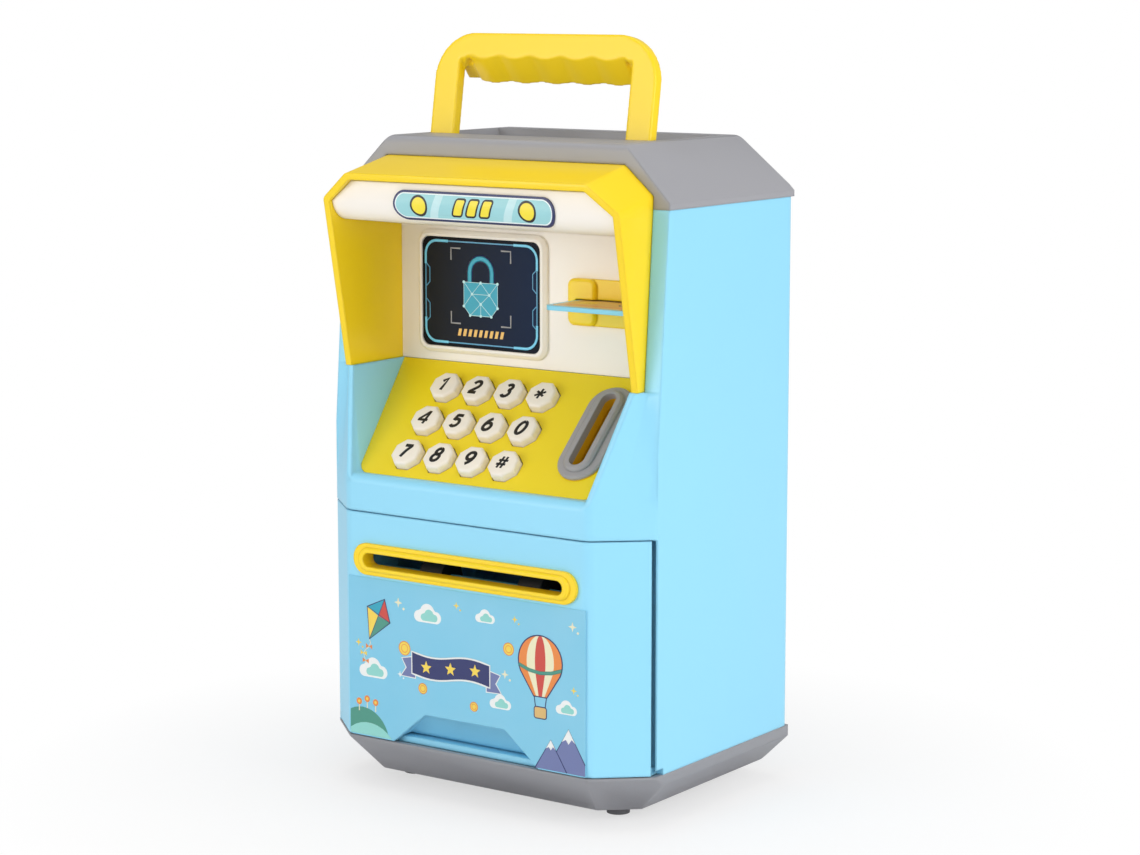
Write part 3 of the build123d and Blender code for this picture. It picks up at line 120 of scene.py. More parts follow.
class NodeDesk:
    """Wires shader nodes for one material."""

    def __init__(self, name: str, colour: Colour) -> None:
        """Start a node material.

        Args:
            name: Name of the material.
            colour: Its main colour, shown in plain views.
        """
        self.material = bpy.data.materials.new(name)
        self.material.use_nodes = True
        self.material.diffuse_color = (*colour, 1)
        self.tree = self.material.node_tree
        self.shader = self.tree.nodes["Principled BSDF"]

    def add(self, kind: str, **values: object) -> bpy.types.Node:
        """Add a node.

        Args:
            kind: Node type without its ShaderNode prefix.
            values: Settings of the node, by name.

        Returns:
            The new node.
        """
        node = self.tree.nodes.new("ShaderNode" + kind)
        for key, value in values.items():
            setattr(node, key, value)
        return node

    def link(self, source: Socket, target: Socket) -> None:
        """Join two sockets."""
        self.tree.links.new(source, target)

    def feed(self, target: Socket, value: object) -> None:
        """Link a socket to another one, or write a plain value into it.

        Args:
            target: The socket to fill.
            value: Another socket, a number or a colour with its alpha.
        """
        if isinstance(value, Socket):
            self.link(value, target)
        else:
            target.default_value = value

    def place(self) -> Socket:
        """Point on the object, in metres."""
        return self.add("TexCoord").outputs["Object"]

    def axes(self) -> Tuple[Socket, Socket, Socket]:
        """Point on the object, in metres.

        Returns:
            Its X, Y and Z.
        """
        parts = self.add("SeparateXYZ")
        self.link(self.place(), parts.inputs["Vector"])
        return parts.outputs["X"], parts.outputs["Y"], parts.outputs["Z"]

    def noise(self, scale: float, detail: float) -> Socket:
        """Noise that is fixed to the object.

        Args:
            scale: How fine the noise is.
            detail: How many finer layers it has.

        Returns:
            The noise, about 0.3 to 0.7.
        """
        node = self.add("TexNoise")
        node.inputs["Scale"].default_value = scale
        node.inputs["Detail"].default_value = detail
        self.link(self.place(), node.inputs["Vector"])
        return node.outputs["Fac"]

    def blend(self, share: Socket, low: Tint, high: Tint) -> Socket:
        """Blend two colours.

        Args:
            share: 0 gives low and 1 gives high.
            low: A colour or a colour socket.
            high: A colour or a colour socket.

        Returns:
            The blended colour.
        """
        node = self.add("Mix", data_type="RGBA")
        self.link(share, node.inputs["Factor"])
        for socket, colour in ((node.inputs["A"], low), (node.inputs["B"], high)):
            self.feed(socket, colour if isinstance(colour, Socket) else (*colour, 1))
        return node.outputs["Result"]

    def spread(self, source: Socket, low: float, high: float,
               start: float = 0.12, end: float = 0.88) -> Socket:
        """Map a value from one range to another.

        Args:
            source: The value.
            low: Result where the value is start.
            high: Result where the value is end.
            start: Lower end of the value's range; the defaults hold all of the noise.
            end: Upper end of the value's range.

        Returns:
            The mapped value.
        """
        node = self.add("MapRange")
        for name, value in (("From Min", start), ("From Max", end), ("To Min", low), ("To Max", high)):
            node.inputs[name].default_value = value
        self.link(source, node.inputs["Value"])
        return node.outputs["Result"]

    def sum_of(self, kind: str, first: Number, second: Number = 0.0) -> Socket:
        """One step of arithmetic.

        Args:
            kind: Name of the operation.
            first: A number or a socket.
            second: A number or a socket.

        Returns:
            The result.
        """
        node = self.add("Math", operation=kind)
        for socket, value in zip(node.inputs, (first, second)):
            self.feed(socket, value)
        return node.outputs["Value"]

    def times(self, first: Number, second: Number) -> Socket:
        """Multiply two values."""
        return self.sum_of("MULTIPLY", first, second)

    def away(self, value: Number, middle: Number) -> Socket:
        """Distance of a value from a middle, to either side."""
        return self.sum_of("ABSOLUTE", self.sum_of("SUBTRACT", value, middle))

    def coat(self, colour: Socket, grain: Socket, smooth: float, rough: float) -> bpy.types.Material:
        """Give the shader its colour and let a grain vary its roughness.

        Args:
            colour: The colour's socket.
            grain: Noise that varies the roughness.
            smooth: Roughness where the noise is low.
            rough: Roughness where the noise is high.

        Returns:
            The material.
        """
        self.link(colour, self.shader.inputs["Base Color"])
        self.link(self.spread(grain, smooth, rough), self.shader.inputs["Roughness"])
        return self.material

    def soften(self, radius: float, grain: float, depth: float) -> None:
        """Round the edges that the light sees, over a fine grain.

        Args:
            radius: Radius of the softened edges, in metres.
            grain: Scale of the grain's noise.
            depth: Strength of the grain.
        """
        edge = self.add("Bevel", samples=6)
        edge.inputs["Radius"].default_value = radius
        bump = self.add("Bump")
        bump.inputs["Strength"].default_value = depth
        bump.inputs["Distance"].default_value = 0.15 * MM
        self.link(self.noise(grain, detail=3.0), bump.inputs["Height"])
        self.link(edge.outputs["Normal"], bump.inputs["Normal"])
        self.link(bump.outputs["Normal"], self.shader.inputs["Normal"])


@dataclass(frozen=True)
class MouldedPlastic:
    """Injection-moulded plastic: even colour, faint flow marks and softened edges.

    Attributes:
        name: Name of the material.
        colour: Colour in linear light.
        surface: Glossy, satin or grained.
        edge: Radius that the light sees on edges, in metres.
    """

    name: str
    colour: Colour
    surface: Surface = Surface.GLOSSY
    edge: float = 0.5 * MM

    def make(self) -> bpy.types.Material:
        """Build the node material.

        Returns:
            The material.
        """
        desk = NodeDesk(self.name, self.colour)
        rough, grain, depth = self.surface.value
        flow = desk.noise(scale=22.0, detail=2.0)
        tone = desk.blend(flow, shade(self.colour, 0.98), shade(self.colour, 1.01))
        desk.soften(self.edge, grain, depth)
        desk.shader.inputs["IOR"].default_value = 1.5
        return desk.coat(tone, flow, rough - 0.03, rough + 0.04)


@dataclass(frozen=True)
class PlainMetal:
    """Bare or plated metal with fine brushing.

    Attributes:
        name: Name of the material.
        colour: Colour in linear light.
        roughness: Its mean roughness.
    """

    name: str
    colour: Colour
    roughness: float = 0.32

    def make(self) -> bpy.types.Material:
        """Build the node material.

        Returns:
            The material.
        """
        desk = NodeDesk(self.name, self.colour)
        brush = desk.noise(scale=700.0, detail=4.0)
        desk.shader.inputs["Metallic"].default_value = 1.0
        tone = desk.blend(brush, shade(self.colour, 0.9), self.colour)
        return desk.coat(tone, brush, self.roughness - 0.06, self.roughness + 0.1)


@dataclass(frozen=True)
class PrintInk:
    """Ink printed on a label, card or key, with a faint grain.

    Attributes:
        name: Name of the material.
        colour: Colour in linear light.
        gloss: Roughness of the ink.
    """

    name: str
    colour: Colour
    gloss: float = 0.38

    def make(self) -> bpy.types.Material:
        """Build the node material.

        Returns:
            The material.
        """
        desk = NodeDesk(self.name, self.colour)
        grain = desk.noise(scale=1500.0, detail=2.0)
        tone = desk.blend(grain, shade(self.colour, 0.95), self.colour)
        return desk.coat(tone, grain, self.gloss - 0.03, self.gloss + 0.05)


@dataclass(frozen=True)
class LabelFilm:
    """Printed film whose ground fades across its width.

    Attributes:
        name: Name of the material.
        colour: Ground colour at the left.
        far: Ground colour at the right.
        left: Where the fade starts, in metres.
        right: Where it ends, in metres.
        gloss: Roughness of the film.
        haze: Share of white that its grain adds.
        coat: Weight of its clear coat.
        shine: Strength of its reflection.
    """

    name: str
    colour: Colour
    far: Colour
    left: float
    right: float
    gloss: float = 0.5
    haze: float = 0.0
    coat: float = 0.0
    shine: float = 0.12

    def make(self) -> bpy.types.Material:
        """Build the node material.

        Returns:
            The material.
        """
        desk = NodeDesk(self.name, self.colour)
        across, _, _ = desk.axes()
        share = desk.spread(across, 0.0, 1.0, self.left, self.right)
        ground = desk.blend(share, self.colour, self.far)
        grain = desk.noise(scale=60.0, detail=3.0)
        tone = desk.blend(desk.spread(grain, 0.0, self.haze), ground, WHITE)
        desk.shader.inputs["Coat Weight"].default_value = self.coat
        desk.shader.inputs["Coat Roughness"].default_value = 0.12
        desk.shader.inputs["Specular IOR Level"].default_value = self.shine
        return desk.coat(tone, grain, self.gloss - 0.02, self.gloss + 0.05)


@dataclass(frozen=True)
class SlotRing:
    """Plastic of the coin slot: a ring of one colour over a sleeve of another.

    Attributes:
        name: Name of the material.
        colour: Colour of the ring.
        sleeve: Colour below the ring.
        level: Where the sleeve ends, out of the plate's slope through the origin, in metres.
    """

    name: str
    colour: Colour
    sleeve: Colour
    level: float

    def make(self) -> bpy.types.Material:
        """Build the node material.

        Returns:
            The material.
        """
        desk = NodeDesk(self.name, self.colour)
        _, back, up = desk.axes()
        height = desk.sum_of("ADD", desk.times(back, -math.sin(PLATE_SLOPE)),
                             desk.times(up, math.cos(PLATE_SLOPE)))
        above = desk.sum_of("GREATER_THAN", height, self.level)
        _, grain, depth = Surface.SATIN.value
        desk.soften(0.6 * MM, grain, depth)
        tone = desk.blend(above, self.sleeve, self.colour)
        return desk.coat(tone, desk.noise(scale=40.0, detail=2.0), smooth=0.40, rough=0.48)


@dataclass(frozen=True)
class SignPrint:
    """Print of the sign: dark rim, pale line, teal ground with two bands, two discs and a row of bars.

    Attributes:
        name: Name of the material.
        colour: Ground colour.
        middle: The sign's middle across, in metres.
        centre: Height of the sign's middle, in metres.
        length: Whole length, in metres.
        height: Whole height, in metres.
        rim: Width of the dark rim, in metres.
        line: Width of the rim and the pale line together.
        slant: How far bars and bands lean for each metre up.
        band_place: Where the two pale bands lie, from the middle.
        band_half: Half of their width.
        disc_place: Where the two discs lie, from the middle.
        disc_rims: Radii of a disc's black and yellow parts.
        bar_places: Where the bars lie, from the middle, to both sides.
        bar_half: Half width and half height of a bar's straight part.
        bar_rims: Radii by which its black and yellow parts reach beyond that.
    """

    name: str
    colour: Colour
    middle: float
    centre: float
    length: float
    height: float
    rim: float = 0.75 * MM
    line: float = 1.15 * MM
    slant: float = 0.45
    band_place: float = 14.6 * MM
    band_half: float = 1.6 * MM
    disc_place: float = 21.5 * MM
    disc_rims: Pair = (3.5 * MM, 2.75 * MM)
    bar_places: Pair = (0.0, 5.4 * MM)
    bar_half: Pair = (1.0 * MM, 1.9 * MM)
    bar_rims: Pair = (1.25 * MM, 0.6 * MM)

    def inside(self, desk: NodeDesk, across: Socket, up: Socket, half: Pair, limit: float) -> Socket:
        """Tell where a point lies within a rounded bar.

        Args:
            desk: The material's desk.
            across: Distance from the bar's middle, across.
            up: Distance from the bar's middle, upwards.
            half: Half length and half height of the bar's straight part.
            limit: Radius of its rounding.

        Returns:
            1 inside the bar and 0 outside.
        """
        dx = desk.sum_of("MAXIMUM", desk.sum_of("SUBTRACT", across, half[0]), 0.0)
        dz = desk.sum_of("MAXIMUM", desk.sum_of("SUBTRACT", up, half[1]), 0.0)
        square = desk.sum_of("ADD", desk.times(dx, dx), desk.times(dz, dz))
        return desk.sum_of("LESS_THAN", square, limit * limit)

    def make(self) -> bpy.types.Material:
        """Build the node material.

        Returns:
            The material.
        """
        desk = NodeDesk(self.name, self.colour)
        x, _, z = desk.axes()
        side = desk.sum_of("SUBTRACT", x, self.middle)
        across = desk.sum_of("ABSOLUTE", side)
        rise = desk.sum_of("SUBTRACT", z, self.centre)
        up = desk.sum_of("ABSOLUTE", rise)
        slant = desk.sum_of("ABSOLUTE", desk.sum_of("SUBTRACT", side, desk.times(rise, self.slant)))
        radius = self.height / 2
        run = (self.length / 2 - radius, 0.0)
        navy, white, pale = linear(34, 42, 96), linear(236, 246, 248), linear(196, 232, 236)
        yellow, black = linear(248, 228, 60), linear(22, 20, 26)
        colour = desk.blend(self.inside(desk, across, up, run, radius - self.rim), navy, white)
        ground = self.inside(desk, across, up, run, radius - self.line)
        colour = desk.blend(ground, colour, self.colour)
        band = desk.sum_of("LESS_THAN", desk.away(slant, self.band_place), self.band_half)
        colour = desk.blend(desk.times(band, ground), colour, pale)
        for reach, ink in zip(self.disc_rims, (black, yellow)):
            disc = self.inside(desk, desk.away(across, self.disc_place), up, (0.0, 0.0), reach)
            colour = desk.blend(disc, colour, ink)
        for place in self.bar_places:
            for reach, ink in zip(self.bar_rims, (black, yellow)):
                bar = self.inside(desk, desk.away(slant, place), up, self.bar_half, reach)
                colour = desk.blend(bar, colour, ink)
        return desk.coat(colour, desk.noise(scale=900.0, detail=2.0), smooth=0.28, rough=0.36)


Finish = Union[MouldedPlastic, PlainMetal, PrintInk, LabelFilm, SlotRing, SignPrint]

SHELL_BLUE = MouldedPlastic("shell_blue", linear(150, 220, 248), Surface.GLOSSY, 1.2 * MM)
BRIGHT_YELLOW = MouldedPlastic("bright_yellow", linear(254, 218, 24), Surface.GLOSSY, 0.8 * MM)
# The keypad plate's yellow is the bright yellow with less red, so darker and greener: painted shade of the
# plate in the alcove under the hood.
PLATE_YELLOW_PAINTED_SHADE = MouldedPlastic("plate_yellow", linear(242, 216, 24), Surface.SATIN, 0.4 * MM)
CREAM = MouldedPlastic("cream", linear(250, 244, 235), Surface.SATIN, 0.8 * MM)
CAP_GREY = MouldedPlastic("cap_grey", linear(160, 160, 165), Surface.SATIN, 1.2 * MM)
BASE_GREY = MouldedPlastic("base_grey", linear(150, 150, 155), Surface.SATIN, 1.2 * MM)
KEY_CREAM = MouldedPlastic("key_cream", linear(244, 236, 222), Surface.SATIN, 0.3 * MM)
FEEDER_TEAL = MouldedPlastic("feeder_teal", linear(120, 206, 240), Surface.SATIN)
WHITE_PLASTIC = MouldedPlastic("white_plastic", linear(232, 232, 230), Surface.SATIN)
DARK_PLASTIC = MouldedPlastic("dark_plastic", linear(38, 38, 42), Surface.GRAINED)
RUBBER = MouldedPlastic("soft_rubber", linear(34, 36, 40), Surface.GRAINED)
FOOT_RUBBER = MouldedPlastic("foot_rubber", linear(112, 112, 116), Surface.GRAINED)
MAT_RUBBER = MouldedPlastic("mat_rubber", linear(205, 205, 200), Surface.GRAINED)
BOARD_GREEN = MouldedPlastic("circuit_board", linear(40, 110, 70), Surface.GRAINED, 0.1 * MM)
CELL_JACKET = MouldedPlastic("cell_jacket", linear(70, 80, 92), Surface.GLOSSY, 0.3 * MM)
CARD_BLUE = MouldedPlastic("card_blue", linear(128, 210, 236), Surface.GLOSSY, 0.5 * MM)
STEEL = PlainMetal("steel", linear(200, 202, 205))
LABEL_BLUE = LabelFilm("label_blue", linear(122, 198, 228), linear(127, 200, 228), -48 * MM, 48 * MM,
                       gloss=0.34, haze=0.05, coat=0.1, shine=0.5)
WINDOW_BLACK = LabelFilm("window_black", linear(14, 16, 22), linear(18, 24, 36), -46 * MM, 4 * MM)
SCREEN_NIGHT = LabelFilm("screen_night", linear(30, 33, 38), linear(22, 38, 66), -40 * MM, 0.0)

INK_BLACK = PrintInk("ink_black", linear(14, 14, 16))
INK_NAVY = PrintInk("ink_navy", linear(40, 48, 104))
INK_WHITE = PrintInk("ink_white", linear(240, 242, 240))
INK_CREAM = PrintInk("ink_cream", linear(238, 232, 196))
INK_YELLOW = PrintInk("ink_yellow", linear(246, 214, 84))
INK_ORANGE = PrintInk("ink_orange", linear(236, 138, 64))
INK_RED = PrintInk("ink_red", linear(206, 72, 62))
INK_GREEN = PrintInk("ink_green", linear(74, 150, 132))
INK_MINT = PrintInk("ink_mint", linear(146, 214, 206))
INK_PLUM = PrintInk("ink_plum", linear(112, 122, 170))
INK_TEAL = PrintInk("ink_teal", linear(42, 164, 190))
INK_TAN = PrintInk("ink_tan", linear(222, 184, 116))
GLOW_CYAN = PrintInk("glow_cyan", linear(120, 212, 248), 0.25)
GLOW_DIM = PrintInk("glow_dim", linear(92, 164, 204), 0.25)
GLOW_GREY = PrintInk("glow_grey", linear(150, 150, 152), 0.25)
GLOW_PALE = PrintInk("glow_pale", linear(190, 232, 236), 0.25)
GLOW_AMBER = PrintInk("glow_amber", linear(240, 190, 96), 0.25)

FINISHED_WITH: Dict[Finish, str] = {
    SHELL_BLUE: "main_shell deck_plate door rear_cover battery_cover",
    BRIGHT_YELLOW: "handle visor_hood coin_chute card_bezel bill_slot_frame",
    STEEL: "keypad_screws door_hinge_pins feeder_screws feed_motor latch_bolt rear_screws battery_contacts"
           " base_screws cap_screws",
    CREAM: "console_panel",
    CAP_GREY: "top_cap",
    BASE_GREY: "base_tray",
    FOOT_RUBBER: "feet",
    PLATE_YELLOW_PAINTED_SHADE: "keypad_plate",
    MAT_RUBBER: "keypad_mat",
    BOARD_GREEN: "display_light_board keypad_board main_board",
    WINDOW_BLACK: "display_window",
    LABEL_BLUE: "door_label",
    CARD_BLUE: "card",
    FEEDER_TEAL: "feeder_frame drive_shaft idler_shaft",
    RUBBER: "drive_rollers idler_rollers",
    WHITE_PLASTIC: "card_guide motor_pinion",
    DARK_PLASTIC: "card_sensor latch_solenoid speaker battery_holder",
    CELL_JACKET: "cells",
}
CAD_FINISHES = {part: finish for finish, parts in FINISHED_WITH.items() for part in parts.split()}


class PaintShop:
    """Makes each finish once and puts it on pieces."""

    ring_depth = 2.7 * MM  # how far the coin ring's own colour reaches down from its top

    def __init__(self) -> None:
        """Start with no finish made."""
        self.made: Dict[str, bpy.types.Material] = {}

    def get(self, finish: Finish) -> bpy.types.Material:
        """Find the material of a finish, made on first use.

        Args:
            finish: The finish.

        Returns:
            Its material.
        """
        if finish.name not in self.made:
            self.made[finish.name] = finish.make()
        return self.made[finish.name]

    def dress(self, piece: bpy.types.Object, finish: Finish) -> None:
        """Put one finish all over a piece."""
        piece.data.materials.clear()
        piece.data.materials.append(self.get(finish))

    def dress_frame(self) -> None:
        """Dress every part that comes from the frame; one without an entry, such as a key, is cream."""
        top = max(plate_height(vertex.co) for vertex in frame["nodes"]["coin_ring"].data.vertices)
        ring = SlotRing("slot_ring", linear(158, 156, 157), linear(226, 176, 20), top - self.ring_depth)
        for name, part in frame["nodes"].items():
            finish = ring if name == "coin_ring" else CAD_FINISHES.get(name, KEY_CREAM)
            self.dress(part, finish)
            log.info("%s: %s", name, finish.name)


# ------------------------------------------------------------------ helpers for shapes
def plate_height(point: Vector) -> float:
    """Distance of a point out of the keypad plate's slope through the origin."""
    return point.z * math.cos(PLATE_SLOPE) - point.y * math.sin(PLATE_SLOPE)


def select_only(piece: bpy.types.Object) -> None:
    """Make one piece the only selected and active one.

    Args:
        piece: The object to select.
    """
    bpy.ops.object.select_all(action="DESELECT")
    piece.select_set(True)
    bpy.context.view_layer.objects.active = piece


@contextmanager
def editing(piece: bpy.types.Object, action: str = "") -> Iterator[None]:
    """Hold a piece in edit mode.

    Args:
        piece: A mesh object.
        action: SELECT or DESELECT for all of its mesh; without it the selection stays.

    Returns:
        A context that ends in object mode.
    """
    select_only(piece)
    bpy.ops.object.mode_set(mode="EDIT")
    if action:
        bpy.ops.mesh.select_all(action=action)
    yield
    bpy.ops.object.mode_set(mode="OBJECT")


def new_object(name: str, data: bpy.types.ID) -> bpy.types.Object:
    """Add an object to the scene.

    Args:
        name: Its name.
        data: Its mesh, curve, lamp or camera.

    Returns:
        The object.
    """
    item = bpy.data.objects.new(name, data)
    bpy.context.scene.collection.objects.link(item)
    return item


def settle(piece: bpy.types.Object, place: Matrix) -> None:
    """Move a piece to its place and write that into its mesh.

    Args:
        piece: A mesh object.
        place: Where its own axes go.
    """
    piece.matrix_world = place @ piece.matrix_world
    select_only(piece)
    bpy.ops.object.transform_apply(location=True, rotation=True, scale=True)


def to_mesh(item: bpy.types.Object) -> bpy.types.Object:
    """Turn a curve into a mesh.

    Args:
        item: The curve's object.

    Returns:
        The mesh's object.
    """
    select_only(item)
    bpy.ops.object.convert(target="MESH")
    return bpy.context.object


def apply_modifiers(piece: bpy.types.Object) -> None:
    """Apply all of a piece's modifiers, in their order.

    Args:
        piece: A mesh object.
    """
    select_only(piece)
    for name in piece.modifiers.keys():
        bpy.ops.object.modifier_apply(modifier=name)


def drawn(name: str, points: Sequence[Point], kind: str, closed: bool) -> bpy.types.Object:
    """Make a curve of straight runs.

    Args:
        name: Name of the curve.
        points: Its points, in millimetres.
        kind: 2D for a filled shape, 3D for a line.
        closed: True where it closes on itself.

    Returns:
        The curve's object.
    """
    data = bpy.data.curves.new(name, "CURVE")
    data.dimensions = kind
    line = data.splines.new("POLY")
    line.points.add(len(points) - 1)
    for point, (x, y) in zip(line.points, points):
        point.co = (x * MM, y * MM, 0, 1)
    line.use_cyclic_u = closed
    return new_object(name, data)


def filled(name: str, outline: Sequence[Point], depth: float) -> bpy.types.Object:
    """Make a filled outline of some depth, half of it on each side of its plane.

    Args:
        name: Name of the curve.
        outline: The outline's points, in millimetres.
        depth: Whole depth, in millimetres.

    Returns:
        The curve's object.
    """
    item = drawn(name, outline, "2D", True)
    item.data.fill_mode = "BOTH"
    item.data.extrude = depth / 2 * MM
    return item


def rounded(width: float, height: float, radius: float, centre: Point = (0.0, 0.0)) -> List[Point]:
    """Outline of a rounded rectangle.

    Args:
        width: Whole width.
        height: Whole height.
        radius: Radius of its corners.
        centre: Its middle.

    Returns:
        The outline's points, counterclockwise.
    """
    points: List[Point] = []
    for turn, (sx, sz) in enumerate(((1, 1), (-1, 1), (-1, -1), (1, -1))):
        corner = (centre[0] + sx * (width / 2 - radius), centre[1] + sz * (height / 2 - radius))
        points += arc(corner, radius, 90 * turn, 90 * turn + 90, 6)
    return points


def arc(centre: Point, radius: float, start: float, end: float, steps: int, tall: float = 1.0) -> List[Point]:
    """Points along an arc.

    Args:
        centre: Middle of the circle.
        radius: Its radius.
        start: First angle, in degrees.
        end: Last angle, in degrees.
        steps: Number of runs.
        tall: Height of the arc against its width.

    Returns:
        The points in order.
    """
    angles = [math.radians(start + (end - start) * step / steps) for step in range(steps + 1)]
    return [(centre[0] + radius * math.cos(a), centre[1] + tall * radius * math.sin(a)) for a in angles]


def circle(centre: Point, radius: float) -> List[Point]:
    """Outline of a circle in 24 points."""
    return arc(centre, radius, 0, 345, 23)


def spiky(centre: Point, outer: float, inner: float, count: int) -> List[Point]:
    """Outline of a star with one tip up.

    Args:
        centre: Its middle.
        outer: Radius of its tips.
        inner: Radius of its notches.
        count: Number of tips.

    Returns:
        The outline's points.
    """
    points = []
    for step in range(2 * count):
        radius = inner if step % 2 else outer
        angle = math.radians(90 + 180 * step / count)
        points.append((centre[0] + radius * math.cos(angle), centre[1] + radius * math.sin(angle)))
    return points


def cloud(centre: Point, size: float) -> List[Point]:
    """Outline of a cloud with three humps and a flat base.

    Args:
        centre: Middle of its base.
        size: Half of its length.

    Returns:
        The outline's points.
    """
    x, z = centre
    points = arc((x + 0.62 * size, z + 0.30 * size), 0.34 * size, -80, 100, 8)
    points += arc((x + 0.02 * size, z + 0.52 * size), 0.50 * size, 25, 160, 10)
    points += arc((x - 0.58 * size, z + 0.28 * size), 0.32 * size, 95, 265, 8)
    return points


class Press:
    """Prints thin flat shapes on one plane of a body, in millimetres, and joins them by ink."""

    film = 0.03  # thickness of one print, in millimetres
    step = 0.6  # rise from one layer to the next, in films

    def __init__(self, name: str, body: str, slot: str, shop: PaintShop, place: Matrix) -> None:
        """Set up a plane to print on.

        Args:
            name: Start of the pieces' names.
            body: Body that carries the print.
            slot: Material slot of the record; stored but not used.
            shop: Makes the finishes.
            place: The plane's axes and origin: X across, Y up and Z outwards.
        """
        self.name = name
        self.body = body
        self.slot = slot
        self.shop = shop
        self.place = place
        self.prints: Dict[str, List[bpy.types.Object]] = {}
        self.inks: Dict[str, Finish] = {}

    def keep(self, ink: Finish, item: bpy.types.Object, layer: int) -> None:
        """Turn a print into a mesh, lift it to its layer and file it by ink.

        Args:
            ink: Finish of the print.
            item: The print's curve.
            layer: Number of the layer that it lies in.
        """
        item = to_mesh(item)
        item.location.z += layer * self.film * self.step * MM
        bpy.ops.object.transform_apply(location=True, rotation=True, scale=True)
        self.inks[ink.name] = ink
        self.prints.setdefault(ink.name, []).append(item)

    def shape(self, ink: Finish, outline: Sequence[Point], layer: int = 1) -> None:
        """Print a filled shape."""
        self.keep(ink, filled(self.name, outline, self.film), layer)

    def line(self, ink: Finish, points: Sequence[Point], width: float, layer: int = 1,
             closed: bool = False) -> None:
        """Print a line of even width.

        Args:
            ink: Finish of the print.
            points: Points along its middle.
            width: Its width.
            layer: Number of the layer that it lies in.
            closed: True where it ends at its start.
        """
        item = drawn(self.name, points, "3D", closed)
        item.data.bevel_depth = width / 2 * MM
        item.data.bevel_resolution = 1
        item.data.use_fill_caps = True
        item.scale.z = self.film / width
        self.keep(ink, item, layer)

    def disc(self, ink: Finish, centre: Point, radius: float, layer: int = 1) -> None:
        """Print a disc."""
        self.shape(ink, circle(centre, radius), layer)

    def ring(self, ink: Finish, centre: Point, radius: float, width: float, layer: int = 1) -> None:
        """Print a ring, its middle line at a radius."""
        self.line(ink, circle(centre, radius), width, layer, True)

    def finish(self) -> None:
        """Join the prints of each ink, put them in place and let them ride on their body."""
        for ink_name, items in self.prints.items():
            select_only(items[0])
            for item in items:
                item.select_set(True)
            if len(items) > 1:
                bpy.ops.object.join()
            piece = bpy.context.object
            piece.name = self.name + "_" + ink_name
            settle(piece, self.place)
            self.shop.dress(piece, self.inks[ink_name])
            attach(piece, self.body)
        log.info("%s: %d prints on %s", self.name, len(self.prints), self.body)


def facing_front(x: float, y: float, z: float) -> Matrix:
    """Plane that faces the front, X across and Y up, through a point given in metres."""
    return Matrix(((1, 0, 0, x), (0, 0, -1, y), (0, 1, 0, z), (0, 0, 0, 1)))


# ------------------------------------------------------------------ moulded parts
EdgeTest = Callable[[Vector, Vector, float], bool]


